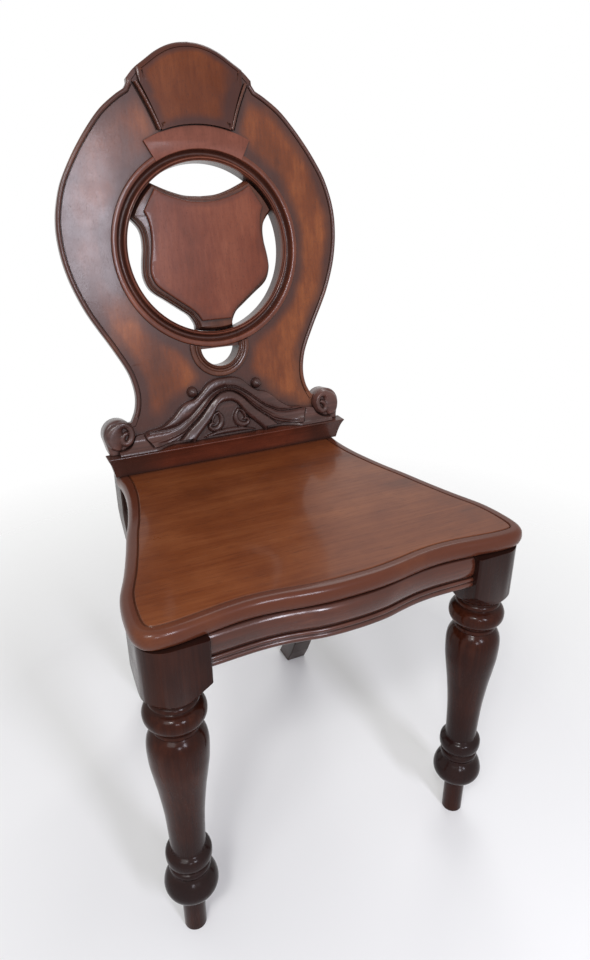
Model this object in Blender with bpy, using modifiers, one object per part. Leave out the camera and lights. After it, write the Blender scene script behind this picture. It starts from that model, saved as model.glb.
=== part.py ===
"""Victorian style hall chair: solid seat, balloon back with a pierced roundel, turned front legs.

Metres, +Z up. The chair faces -Y. While it is modelled, y = 0 is the axis of the front legs.
At the end the root empty moves everything so that the middle of the chair's box is at y = 0.
"""
import math

import bmesh
import bpy
from mathutils import Matrix, Vector

# Clearance between pieces that touch
GAP = 0.0003

# Where the rear legs start behind the axis of the front legs
REAR_Y = 0.3095

# Seat board
SEAT_TOP = 0.435
SEAT_THICK = 0.021
SEAT_HALF_WIDTH = 0.2185
SEAT_BEHIND_LEGS = 0.0305
SEAT_DEPTH = REAR_Y + SEAT_BEHIND_LEGS
SEAT_ROLL_WIDTH = 0.014
SEAT_TAIL = 0.0235
SEAT_REAR = REAR_Y + SEAT_TAIL
SEAT_NOTCH_Y = REAR_Y - GAP
SEAT_OVERRUN = 0.030
UNDER_SEAT = SEAT_TOP - SEAT_THICK - GAP
# Half outline from the middle of the front to the rear corner:
# x as a share of the half width, y as a share of the depth behind the leg axis
SEAT_FRONT_SHARES = ((0.0, -0.100), (0.12, -0.098), (0.25, -0.088), (0.37, -0.075), (0.48, -0.069),
                     (0.59, -0.072), (0.71, -0.082), (0.82, -0.090), (0.91, -0.089), (0.965, -0.074),
                     (0.992, -0.045), (1.0, -0.010), (0.998, 0.040), (0.990, 0.090), (0.972, 0.145),
                     (0.922, 0.238), (0.872, 0.347), (0.826, 0.459), (0.790, 0.535), (0.757, 0.618),
                     (0.729, 0.706), (0.713, 0.788), (0.709, 0.859), (0.716, 0.925))
# Moulded edge: offset as a share of the roll's width, height as a share of the thickness
SEAT_EDGE_SHARES = ((-0.62, -1.0), (-0.20, -0.88), (-0.02, -0.62), (0.0, -0.40), (-0.07, -0.18),
                    (-0.30, -0.03), (-0.60, 0.0), (-0.86, 0.0), (-0.93, -0.07), (-1.02, -0.07),
                    (-1.09, 0.0))
SEAT_OUTLINE_POINTS = 31

# Front legs: square block with a rounded outer front corner, turned below
LEG_X = 0.1825
BLOCK_HALF = 0.0318
BLOCK_CORNER_RADIUS = 0.027
BLOCK_SMALL_RADIUS = 0.0025
BLOCK_TURN_RADIUS = 0.050
LEG_RADIUS = 0.0316
LEG_BLOCK_DROP = 0.095
LEG_TURN_HEIGHT = SEAT_TOP - LEG_BLOCK_DROP
LEG_TURN_STEPS = 20
# Turned profile from the block's shoulder to the floor:
# radius as a share of the ring's radius, height as a share of the turned height
LEG_SHARES = ((1.58, 1.085), (1.44, 1.078), (1.234, 1.059), (1.076, 1.040), (1.006, 1.029), (0.949, 1.022),
              (0.886, 1.016), (0.790, 1.011), (0.744, 1.006), (0.744, 1.000), (0.797, 0.996), (0.797, 0.986),
              (0.734, 0.982), (0.734, 0.978), (0.816, 0.975), (0.934, 0.966), (0.997, 0.953), (1.006, 0.943),
              (0.991, 0.931), (0.918, 0.918), (0.807, 0.910), (0.712, 0.907), (0.703, 0.898), (0.755, 0.895),
              (0.755, 0.886), (0.734, 0.881), (0.829, 0.872), (0.924, 0.857), (0.975, 0.840), (0.994, 0.819),
              (0.990, 0.793), (0.965, 0.755), (0.895, 0.707), (0.790, 0.640), (0.680, 0.545), (0.630, 0.460),
              (0.612, 0.393), (0.625, 0.381), (0.712, 0.375), (0.785, 0.365), (0.804, 0.350), (0.791, 0.335),
              (0.734, 0.3235), (0.671, 0.319), (0.665, 0.312), (0.709, 0.309), (0.728, 0.300), (0.715, 0.291),
              (0.677, 0.286), (0.677, 0.277), (0.744, 0.269), (0.848, 0.256), (0.924, 0.238), (0.953, 0.2206),
              (0.930, 0.204), (0.839, 0.188), (0.680, 0.178), (0.506, 0.174), (0.418, 0.172), (0.405, 0.088),
              (0.399, 0.006), (0.383, 0.0))

# Rear legs: square, swept back and slightly inwards below the rails
REAR_WIDTH = 0.033
REAR_INNER_X = 0.1071
REAR_TOP_SHIFT = 0.0124
REAR_HEIGHT = SEAT_TOP
REAR_DEPTH = 0.034
REAR_SWEEP = 0.0555
REAR_BEVEL = 0.0015
# The leg is straight above this height
REAR_JOINT_DROP = 0.064
REAR_JOINT_Z = REAR_HEIGHT - REAR_JOINT_DROP
# Both lists run from the floor up to where the leg gets straight, heights as a share of that:
# the sweep as a share of the foot's, and the inward shift as a share of the whole shift
REAR_SWEEP_SHARES = ((0.0, 1.0), (0.041, 0.84), (0.082, 0.69), (0.164, 0.44), (0.270, 0.225), (0.399, 0.07),
                     (0.539, -0.01), (0.704, -0.035), (0.844, -0.020), (0.9615, 0.0))
REAR_SHIFT_SHARES = ((0.0, 0.0), (0.528, 0.02), (0.680, 0.10), (0.797, 0.36), (0.891, 0.70), (0.9615, 0.92),
                     (0.997, 1.0), (1.0, 1.0))

# Front rail: serpentine, moulded on its front
RAIL_HEIGHT = 0.0377
RAIL_BOTTOM = UNDER_SEAT - RAIL_HEIGHT
RAIL_FRONT = 0.0235
RAIL_BOW = 0.0112
RAIL_BACK = 0.002
RAIL_SECTION_DEPTH = 0.055
RAIL_RELIEF = 0.0075
RAIL_END = 0.0125
RAIL_REACH = LEG_X - RAIL_END
# Bow of the front against x: x as a share of the reach, bow as a share of the bow in the middle
RAIL_BOW_SHARES = ((0.0, 1.0), (0.10, 0.965), (0.22, 0.80), (0.34, 0.43), (0.46, 0.12), (0.58, 0.0),
                   (0.70, 0.015), (0.82, 0.08), (0.90, 0.10), (1.0, 0.10))
# Face of the rail: set-back as a share of the relief, height as a share of the rail's height
RAIL_FACE_SHARES = ((0.85, 1.0), (0.80, 0.965), (0.20, 0.945), (0.0, 0.87), (0.18, 0.79), (0.60, 0.77),
                    (0.95, 0.66), (1.0, 0.55), (0.80, 0.42), (0.62, 0.34), (0.15, 0.32), (0.0, 0.255),
                    (0.25, 0.185), (0.05, 0.15), (0.0, 0.09), (0.30, 0.02), (0.80, 0.0))
RAIL_PATH_POINTS = 23

# Side and back rails
REAR_TOP_INNER_X = REAR_INNER_X + REAR_TOP_SHIFT
SIDE_FRONT_OUT = 0.0175
SIDE_FRONT_X = LEG_X + SIDE_FRONT_OUT
SIDE_REAR_OUT = 0.026
SIDE_REAR_X = REAR_TOP_INNER_X + SIDE_REAR_OUT
SIDE_THICK = 0.019
SIDE_HEIGHT = 0.0397
SIDE_BOTTOM = UNDER_SEAT - SIDE_HEIGHT
BACK_RAIL_INSET = 0.0037
BACK_RAIL_Y = REAR_Y + BACK_RAIL_INSET
BACK_RAIL_THICK = 0.0195

# Mortise and tenon joints of the rails
TENON_THICK = 0.009
TENON_HEIGHT = 0.025
TENON_DROP = 0.0187
TENON_Z = UNDER_SEAT - TENON_DROP
FRONT_TENON_Y = -0.007
FRONT_TENON_LENGTH = 0.019
SIDE_FRONT_TENON_X = SIDE_FRONT_X - SIDE_THICK / 2
SIDE_FRONT_TENON_LENGTH = 0.016
SIDE_REAR_TENON_X = SIDE_REAR_X - SIDE_THICK / 2
SIDE_REAR_TENON_LENGTH = 0.015
BACK_TENON_LENGTH = 0.008
TENON_ROOT = 0.004

# Glue blocks and their screws
BLOCK_LENGTH = 0.050
BLOCK_SIZE = 0.018
BLOCK_HEIGHT = 0.030
FRONT_GLUE_X = 0.110
REAR_GLUE_X = 0.075
SCREW_LENGTH = 0.042
SCREW_RADIUS = 0.0019
SCREW_HEAD_RADIUS = 0.0042
SCREW_HEAD_HEIGHT = 0.0028
SCREW_SUNK = 0.0006

# Plinth between the seat and the back
PLINTH_HEIGHT = 0.028
PLINTH_TOP = SEAT_TOP + PLINTH_HEIGHT
PLINTH_AHEAD = 0.009
PLINTH_FRONT = REAR_Y - PLINTH_AHEAD
PLINTH_DEPTH = 0.038
PLINTH_REAR = PLINTH_FRONT + PLINTH_DEPTH
PLINTH_STRIP = 0.010
PLINTH_STRIP_REAR = PLINTH_FRONT + PLINTH_STRIP
PLINTH_OUT = 0.0125
PLINTH_FLARE = 0.008
PLINTH_CORE_OUT = 0.0053
# Flared face: flare as a share of the whole flare, height as a share of the plinth's height
PLINTH_SHARES = ((0.0, 0.0), (0.23, 0.33), (0.53, 0.66), (0.90, 0.93), (1.0, 0.96), (1.0, 1.0))

# Back: one plane, leaning back. Its front face meets the seat's top at BACK_Y, and heights
# along it (names ending in S) are measured from the plinth's top
BACK_AHEAD = 0.003
BACK_Y = REAR_Y - BACK_AHEAD
BACK_TILT = math.radians(10.17)
BOARD_THICK = 0.023
BOARD_HALF_WIDTH = 0.180
BOARD_HEIGHT = 0.4656
BOARD_POINTS = 29
BOARD_TAIL = 0.010
# The beds of the carving and the keystone are cut this far above the board's face
BED_CLEAR = 0.00015
LOBE_SHARE = 0.8056
LOBE_X = LOBE_SHARE * BOARD_HALF_WIDTH
# The plinth reaches a little further out than the lobes' middles
PLINTH_HALF_WIDTH = LOBE_X + PLINTH_OUT
PLINTH_CORE_HALF_WIDTH = LOBE_X + PLINTH_CORE_OUT
LOBE_S = 0.02285
LOBE_RADIUS = 0.0180
LOBE_START = math.radians(-73.0)
LOBE_TURN = math.radians(209.0)
LOBE_POINTS = 8
# Half outline above the lobe: x as a share of the half width, height as a share of the board's height
BOARD_SHARES = ((0.702, 0.0774), (0.668, 0.1034), (0.652, 0.1278), (0.648, 0.1511), (0.655, 0.1766),
                (0.672, 0.2042), (0.7, 0.2307), (0.737, 0.2593), (0.78, 0.2912), (0.832, 0.3272),
                (0.885, 0.3665), (0.93, 0.4089), (0.968, 0.4556), (0.992, 0.5044), (1.0, 0.5511),
                (0.994, 0.5914), (0.972, 0.6328), (0.93, 0.6795), (0.87, 0.7219), (0.8, 0.7633),
                (0.712, 0.8079), (0.62, 0.8471), (0.52, 0.8768), (0.447, 0.8938))
CREST_SHARES = ((0.425, 0.9071), (0.424, 0.9171), (0.372, 0.9373), (0.3, 0.9564), (0.225, 0.9755),
                (0.15, 0.9893), (0.075, 0.9972), (0.0, 0.9999))
CREST_POINTS = 10
# Edge of the board: a bead on the front edge and a bevel at the back
EDGE_WIDTH = 0.0062
EDGE_RISE = 0.0018
EDGE_SIDE = 0.009
EDGE_BEVEL = 0.012

# Roundel: ring moulding in a rebate of the board
RING_DROP = 0.22805
RING_S = BOARD_HEIGHT - RING_DROP
RING_OUTER = 0.1206
RING_INNER = 0.1015
RING_DEPTH = 0.0105
RING_SEAT = 0.0082
RING_STEPS = 44
# Ring section from the outer edge to the inner edge:
# radius as a share of the ring's width from the inner edge, height as a share of its depth
RING_SHARES = ((1.0, 0.90), (0.965, 0.975), (0.63, 0.975), (0.585, 0.86), (0.46, 0.60), (0.30, 0.58),
               (0.22, 0.72), (0.20, 0.88), (0.15, 0.99), (0.06, 0.99), (0.0, 0.86))

# Lower half ring and the half moon opening in it
MOON_DROP = 0.1195
MOON_S = RING_S - MOON_DROP
MOON_OUTER = 0.0400
MOON_INNER = 0.0262
MOON_RISE = 0.0042
MOON_LIP = 0.0016
MOON_STEPS = 36
MOON_SHARES = ((1.0, 0.55), (0.96, 0.75), (0.60, 0.75), (0.52, 0.40), (0.34, 0.30), (0.22, 0.55),
               (0.18, 0.90), (0.10, 1.0), (0.0, 0.75))

# Shield: a pierced web held in the ring by two ears and a foot, with a raised face
SHIELD_HALF_WIDTH = 0.0835
SHIELD_HEIGHT = 0.0835
WEB_BACK = 0.0225
WEB_FRONT = 0.0015
WEB_STEP = 0.0062
FACE_RISE = 0.0035
FACE_BEVEL = 0.0016
EAR_TOP_ANGLE = math.radians(52.0)
EAR_LOW_ANGLE = math.radians(24.0)
FOOT_HALF_ANGLE = math.radians(14.4)
# Both lists: x as a share of the half width, height above the ring's centre as a share of the height
WEB_TOP_SHARES = ((0.0, 0.748), (0.24, 0.766), (0.46, 0.830), (0.64, 0.905))
WEB_SIDE_SHARES = ((1.035, 0.420), (0.975, 0.330), (0.950, 0.215), (0.955, 0.060), (0.982, -0.090),
                   (1.0, -0.225), (1.0, -0.345), (0.958, -0.480), (0.880, -0.580), (0.715, -0.700),
                   (0.500, -0.860), (0.385, -0.950), (0.322, -1.050), (0.300, -1.110))
FACE_SHARES = ((0.0, 0.650), (0.22, 0.668), (0.44, 0.728), (0.60, 0.785), (0.725, 0.855),
               (0.915, 0.560), (0.865, 0.420), (0.850, 0.240), (0.868, 0.060), (0.905, -0.120),
               (0.925, -0.250), (0.915, -0.350), (0.850, -0.480), (0.660, -0.640), (0.415, -0.825),
               (0.300, -0.930), (0.232, -1.040))
FACE_CORNERS = (4, 5, 16)

# Keystone on the crest, its side beads, and the arc below it
KEY_RISE = 0.0052
KEY_SHOULDER_X = 0.0755
KEY_TOP_X = 0.0695
KEY_TOP_DROP = 0.04505
KEY_TOP_S = BOARD_HEIGHT - KEY_TOP_DROP
KEY_LOW_X = 0.0470
KEY_SIDE_HOLLOW = 0.0012
BEAD_WIDTH = 0.0042
BEAD_RISE = 0.0066
ARC_OUTER = 0.1400
ARC_RISE = 0.0032
ARC_HALF_ANGLE = math.radians(28.3)
ARC_POINTS = 18

# Carving over the plinth
CARVING_RISE = 0.0062
CARVING_BOTTOM = 0.00045
CARVING_FOOT_OUT = 0.0045
CARVING_FOOT_X = LOBE_X + CARVING_FOOT_OUT
CARVING_ARC_START = math.radians(-78.0)
CARVING_ARC_END = math.radians(-160.0)
CARVING_INSET = 0.0235
CARVING_SPREAD = LOBE_X - CARVING_INSET
CARVING_HEIGHT = 0.0766
# Half outline from the volute to the middle: shares of the spread and of the height
CARVING_SHARES = ((1.0, 0.2455), (0.966, 0.2701), (0.92, 0.2523), (0.83, 0.2948), (0.72, 0.3524),
                  (0.61, 0.4648), (0.52, 0.5882), (0.43, 0.6773), (0.345, 0.7252), (0.27, 0.8212),
                  (0.19, 0.9377), (0.1, 0.9925), (0.0, 0.9994))
SCROLL_SHARES = ((0.9, 0.1701), (0.8, 0.0919), (0.68, 0.0974), (0.56, 0.1769), (0.44, 0.314),
                 (0.33, 0.4785), (0.225, 0.6567), (0.13, 0.7732), (0.0, 0.8184))
SCROLL_HALF_WIDTH = 0.0052
SCROLL_RISE = 0.0042
BALL_X = 0.0445
BALL_S = 0.06305
BALL_RADIUS = 0.0068
BOSS_S = 0.02755
BOSS_HALF_WIDTH = 0.0135
BOSS_HALF_HEIGHT = 0.0185
BOSS_RISE = 0.0032
LEAF_X = 0.0235
LEAF_S = 0.01005
LEAF_RADIUS = 0.0078
LEAF_RISE = 0.0030
VOLUTE_RADIUS = 0.0195
VOLUTE_RISE = 0.0125
VOLUTE_BACK = 0.0215
VOLUTE_BACK_RADIUS = 0.0085
VOLUTE_SHARES = ((1.0, 0.42), (0.985, 0.62), (0.90, 0.78), (0.74, 0.86), (0.62, 0.80), (0.55, 0.70),
                 (0.48, 0.80), (0.38, 0.92), (0.20, 0.99))

# Dowels that pin the back through the plinth into the seat
DOWEL_RADIUS = 0.0045
DOWEL_TOP = 0.02955
DOWEL_IN_SEAT = 0.012
DOWEL_FOOT = -PLINTH_HEIGHT / math.cos(BACK_TILT) - DOWEL_IN_SEAT
DOWEL_SPACING = 0.080
DOWEL_CHAMFER = 0.001

MERGE = 0.000002

COLOURS = {
    "polished": (0.20, 0.062, 0.032, 1.0),
    "warm": (0.27, 0.095, 0.043, 1.0),
    "dark": (0.075, 0.030, 0.022, 1.0),
    "inner": (0.36, 0.20, 0.11, 1.0),
    "steel": (0.42, 0.41, 0.39, 1.0),
}


def material(name, tone, roughness, metallic):
    """A material of its own for one piece."""
    made = bpy.data.materials.new(name)
    made.use_nodes = True
    shader = made.node_tree.nodes["Principled BSDF"]
    shader.inputs["Base Color"].default_value = COLOURS[tone]
    shader.inputs["Roughness"].default_value = roughness
    shader.inputs["Metallic"].default_value = metallic
    made.diffuse_color = COLOURS[tone]
    return made


def finish(piece, tone, roughness=0.3, metallic=0.0):
    """Gives a piece its material and smooth faces with sharp edges kept."""
    piece.data.materials.clear()
    piece.data.materials.append(material(piece.name + "_finish", tone, roughness, metallic))
    piece.data.shade_smooth()
    piece.data.set_sharp_from_angle(angle=math.radians(35.0))
    return piece


def link(obj, group, parent):
    """Puts an object in a collection under a parent."""
    group.objects.link(obj)
    obj.parent = parent
    return obj


def hide(cutter):
    """Marks an object as a cutter."""
    cutter.hide_render = True
    cutter.display_type = "WIRE"
    return cutter


def through(points, count):
    """Evenly spread points along a smooth curve through the given ones."""
    vectors = [Vector((p[0], p[1])) for p in points]
    ends = [2 * vectors[0] - vectors[1]] + vectors + [2 * vectors[-1] - vectors[-2]]
    fine = []
    per_span = 24
    for i in range(1, len(ends) - 2):
        p0, p1, p2, p3 = ends[i - 1], ends[i], ends[i + 1], ends[i + 2]
        for k in range(per_span):
            t = k / per_span
            fine.append(0.5 * (2 * p1 + (p2 - p0) * t + (2 * p0 - 5 * p1 + 4 * p2 - p3) * t * t
                               + (3 * p1 - p0 - 3 * p2 + p3) * t ** 3))
    fine.append(vectors[-1])
    lengths = [0.0]
    for a, b in zip(fine, fine[1:]):
        lengths.append(lengths[-1] + (b - a).length)
    spread = []
    place = 0
    for i in range(count):
        wanted = lengths[-1] * i / (count - 1)
        while place < len(lengths) - 2 and lengths[place + 1] < wanted:
            place += 1
        step = lengths[place + 1] - lengths[place]
        share = (wanted - lengths[place]) / step
        spread.append(fine[place].lerp(fine[place + 1], min(max(share, 0.0), 1.0)))
    return [(p.x, p.y) for p in spread]


def value_at(pairs, key):
    """Straight-line reading of a table of (key, value) pairs."""
    for (k0, v0), (k1, v1) in zip(pairs, pairs[1:]):
        if key <= k1:
            return v0 + (v1 - v0) * (key - k0) / (k1 - k0)
    return pairs[-1][1]


def sized(shares, width, height):
    """Turns a list of shares into lengths."""
    return [(x * width, y * height) for x, y in shares]


def mirrored(half):
    """Closes a half outline that starts and ends on x = 0 or crosses it by a straight edge."""
    other = [(-x, y) for x, y in reversed(half) if abs(x) > MERGE]
    return list(half) + other


def arc(centre_y, radius, start, end, count):
    """Points on an arc about (0, centre_y), angles from the x axis."""
    angles = [start + (end - start) * i / (count - 1) for i in range(count)]
    return [(radius * math.cos(a), centre_y + radius * math.sin(a)) for a in angles]


def poly_curve(name, outline, closed):
    """A flat polyline curve object."""
    curve = bpy.data.curves.new(name, "CURVE")
    curve.dimensions = "2D"
    spline = curve.splines.new("POLY")
    spline.points.add(len(outline) - 1)
    for point, (x, y) in zip(spline.points, outline):
        point.co = (x, y, 0.0, 1.0)
    spline.use_cyclic_u = closed
    return bpy.data.objects.new(name, curve)


def curve_to_mesh(curve_obj, name):
    """The welded mesh of a curve, as a new object."""
    bpy.context.scene.collection.objects.link(curve_obj)
    graph = bpy.context.evaluated_depsgraph_get()
    mesh = bpy.data.meshes.new_from_object(curve_obj.evaluated_get(graph))
    work = bmesh.new()
    work.from_mesh(mesh)
    bmesh.ops.remove_doubles(work, verts=work.verts[:], dist=MERGE)
    bmesh.ops.recalc_face_normals(work, faces=work.faces[:])
    work.to_mesh(mesh)
    work.free()
    data = curve_obj.data
    bpy.data.objects.remove(curve_obj)
    bpy.data.curves.remove(data)
    mesh.name = name
    return bpy.data.objects.new(name, mesh)


def moulded(name, outline, section, group, parent):
    """A flat piece whose edge follows a section of (outward offset, height), from back to front."""
    guide = poly_curve(name + "_section", [(-out, height) for out, height in section], False)
    bpy.context.scene.collection.objects.link(guide)
    shape = poly_curve(name + "_outline", outline, True)
    shape.data.fill_mode = "BOTH"
    shape.data.bevel_mode = "OBJECT"
    shape.data.bevel_object = guide
    piece = curve_to_mesh(shape, name)
    data = guide.data
    bpy.data.objects.remove(guide)
    bpy.data.curves.remove(data)
    return link(piece, group, parent)


def swept(name, path, section, group, parent):
    """A closed section of (sideways offset, height) drawn along a flat path, ends capped."""
    guide = poly_curve(name + "_section", section, True)
    bpy.context.scene.collection.objects.link(guide)
    shape = poly_curve(name + "_path", path, False)
    shape.data.bevel_mode = "OBJECT"
    shape.data.bevel_object = guide
    shape.data.use_fill_caps = True
    piece = curve_to_mesh(shape, name)
    data = guide.data
    bpy.data.objects.remove(guide)
    bpy.data.curves.remove(data)
    return link(piece, group, parent)


def slab(name, outline, low, high, group, parent):
    """A flat outline given the thickness from low to high."""
    return moulded(name, outline, [(0.0, low), (0.0, high)], group, parent)


def turned(name, profile, steps, group, parent, closed=False):
    """A profile of (radius, height), top to bottom on its outer side, turned about Z."""
    mesh = bpy.data.meshes.new(name)
    edges = [(i, i + 1) for i in range(len(profile) - 1)]
    if closed:
        edges.append((len(profile) - 1, 0))
    mesh.from_pydata([(r, 0.0, z) for r, z in profile], edges, [])
    piece = link(bpy.data.objects.new(name, mesh), group, parent)
    screw = piece.modifiers.new("Turn", "SCREW")
    screw.axis = "Z"
    screw.angle = 2 * math.pi
    screw.steps = steps
    screw.render_steps = steps
    screw.use_merge_vertices = True
    screw.merge_threshold = MERGE
    return piece


def box(name, low, high, group, parent):
    """A box between two corners."""
    mesh = bpy.data.meshes.new(name)
    work = bmesh.new()
    bmesh.ops.create_cube(work, size=1.0)
    for vert in work.verts:
        vert.co = Vector([high[i] if vert.co[i] > 0 else low[i] for i in range(3)])
    work.to_mesh(mesh)
    work.free()
    return link(bpy.data.objects.new(name, mesh), group, parent)


def rod(name, radius, length, sides, group, parent):
    """A cylinder standing on the origin."""
    mesh = bpy.data.meshes.new(name)
    work = bmesh.new()
    bmesh.ops.create_cone(work, cap_ends=True, segments=sides, radius1=radius, radius2=radius, depth=length,
                          matrix=Matrix.Translation((0.0, 0.0, length / 2)))
    work.to_mesh(mesh)
    work.free()
    return link(bpy.data.objects.new(name, mesh), group, parent)


def boolean(piece, other, operation):
    """Adds a Boolean modifier."""
    modifier = piece.modifiers.new(operation.title() + " " + other.name, "BOOLEAN")
    modifier.operation = operation
    modifier.solver = "EXACT"
    modifier.object = other
    return piece


def rounded(piece, width, segments=1):
    """Adds a bevel on the piece's sharp edges."""
    modifier = piece.modifiers.new("Eased edges", "BEVEL")
    modifier.width = width
    modifier.segments = segments
    modifier.limit_method = "ANGLE"
    modifier.angle_limit = math.radians(50.0)
    return piece


def seat_outline():
    """The whole outline of the seat, run on past its rear edge."""
    half = through(sized(SEAT_FRONT_SHARES, SEAT_HALF_WIDTH, SEAT_DEPTH), SEAT_OUTLINE_POINTS)
    half.append((half[-1][0], SEAT_REAR + SEAT_OVERRUN))
    return mirrored(half)


def make_seat(chair, cutters, root):
    """The seat board, notched round the rear legs."""
    section = [(x, SEAT_TOP + z) for x, z in sized(SEAT_EDGE_SHARES, SEAT_ROLL_WIDTH, SEAT_THICK)]
    seat = moulded("seat_board", seat_outline(), section, chair, root)
    low = SEAT_TOP - 2 * SEAT_THICK
    high = SEAT_TOP + SEAT_THICK
    far = SEAT_REAR + 2 * SEAT_OVERRUN
    half = REAR_TOP_INNER_X - GAP
    rear = box("cut_seat_rear", (-SEAT_HALF_WIDTH, SEAT_REAR, low), (SEAT_HALF_WIDTH, far, high),
               cutters, root)
    boolean(seat, hide(rear), "DIFFERENCE")
    for side, name in ((-1, "left"), (1, "right")):
        xs = sorted((side * half, side * SEAT_HALF_WIDTH))
        notch = box("cut_seat_notch_" + name, (xs[0], SEAT_NOTCH_Y, low), (xs[1], far, high), cutters, root)
        boolean(seat, hide(notch), "DIFFERENCE")
    return finish(seat, "polished", 0.25)


def rounded_square(side):
    """Outline of a leg block: large radius at the outer front corner, small ones elsewhere."""
    points = []
    corners = ((1, -1), (1, 1), (-1, 1), (-1, -1))
    starts = (-90.0, 0.0, 90.0, 180.0)
    for (cx, cy), start in zip(corners, starts):
        outer_front = cy < 0 and cx == side
        radius = BLOCK_CORNER_RADIUS if outer_front else BLOCK_SMALL_RADIUS
        count = 9 if outer_front else 3
        centre_x = cx * (BLOCK_HALF - radius)
        centre_y = cy * (BLOCK_HALF - radius)
        for i in range(count):
            angle = math.radians(start + 90.0 * i / (count - 1))
            points.append((centre_x + radius * math.cos(angle), centre_y + radius * math.sin(angle)))
    return points


def make_front_leg(name, side, chair, cutters, root):
    """A turned leg with its square block, from one billet."""
    profile = [(0.0, UNDER_SEAT), (BLOCK_TURN_RADIUS, UNDER_SEAT)]
    profile += sized(LEG_SHARES, LEG_RADIUS, LEG_TURN_HEIGHT)
    profile.append((0.0, 0.0))
    leg = turned(name, profile, LEG_TURN_STEPS, chair, root)
    leg.location = (side * LEG_X, 0.0, 0.0)
    billet = slab("cut_" + name + "_billet", rounded_square(side), -BLOCK_HALF, SEAT_TOP, cutters, leg)
    boolean(leg, hide(billet), "INTERSECT")
    return leg


def make_rear_leg(name, side, chair, root):
    """A square rear leg, swept back at the foot."""
    curve = [(REAR_Y + REAR_SWEEP * sweep, REAR_JOINT_Z * height) for height, sweep in REAR_SWEEP_SHARES]
    front = through(curve, 13)
    front += [(REAR_Y, REAR_JOINT_Z), (REAR_Y, REAR_HEIGHT)]
    rear = [(y + REAR_DEPTH, z) for y, z in reversed(front)]
    leg = slab(name, front + rear, 0.0, REAR_WIDTH, chair, root)
    for vert in leg.data.vertices:
        y, z, across = vert.co
        shift = REAR_TOP_SHIFT * value_at(REAR_SHIFT_SHARES, z / REAR_JOINT_Z)
        vert.co = (side * (REAR_INNER_X + shift + across), y, z)
    if side < 0:
        leg.data.flip_normals()
    return rounded(leg, REAR_BEVEL)


def make_front_rail(chair, cutters, root):
    """The serpentine front rail."""
    half = through(sized(RAIL_BOW_SHARES, RAIL_REACH, RAIL_BOW), (RAIL_PATH_POINTS + 1) // 2)
    right = [(x, -RAIL_FRONT - bow) for x, bow in half]
    path = [(-x, y) for x, y in reversed(right[1:])] + right
    face = sized(RAIL_FACE_SHARES, RAIL_RELIEF, RAIL_HEIGHT)
    section = [(-set_back, RAIL_BOTTOM + z) for set_back, z in face]
    section += [(-RAIL_SECTION_DEPTH, RAIL_BOTTOM), (-RAIL_SECTION_DEPTH, UNDER_SEAT)]
    rail = swept("front_rail", path, section, chair, root)
    end = LEG_X - BLOCK_HALF - GAP
    limit = box("cut_front_rail_limit", (-end, -RAIL_SECTION_DEPTH, RAIL_BOTTOM - BLOCK_SIZE),
                (end, RAIL_BACK, SEAT_TOP), cutters, root)
    boolean(rail, hide(limit), "INTERSECT")
    return rail


def make_side_rail(name, side, chair, root):
    """A straight side rail between the front block and the rear leg."""
    front = BLOCK_HALF + GAP
    rear = SEAT_NOTCH_Y
    outline = [(SIDE_FRONT_X - SIDE_THICK, front), (SIDE_FRONT_X, front), (SIDE_REAR_X, rear),
               (SIDE_REAR_X - SIDE_THICK, rear)]
    outline = [(side * x, y) for x, y in outline]
    return slab(name, outline, SIDE_BOTTOM, UNDER_SEAT, chair, root)


def tenon(name, rail, leg, low, high, cutters, root):
    """Adds a tenon to a rail and cuts its mortise in a leg."""
    tongue = box("join_" + name, low, high, cutters, root)
    boolean(rail, hide(tongue), "UNION")
    slack = Vector((GAP, GAP, GAP))
    mortise = box("cut_" + name, Vector(low) - slack, Vector(high) + slack, cutters, root)
    boolean(leg, hide(mortise), "DIFFERENCE")


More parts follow.
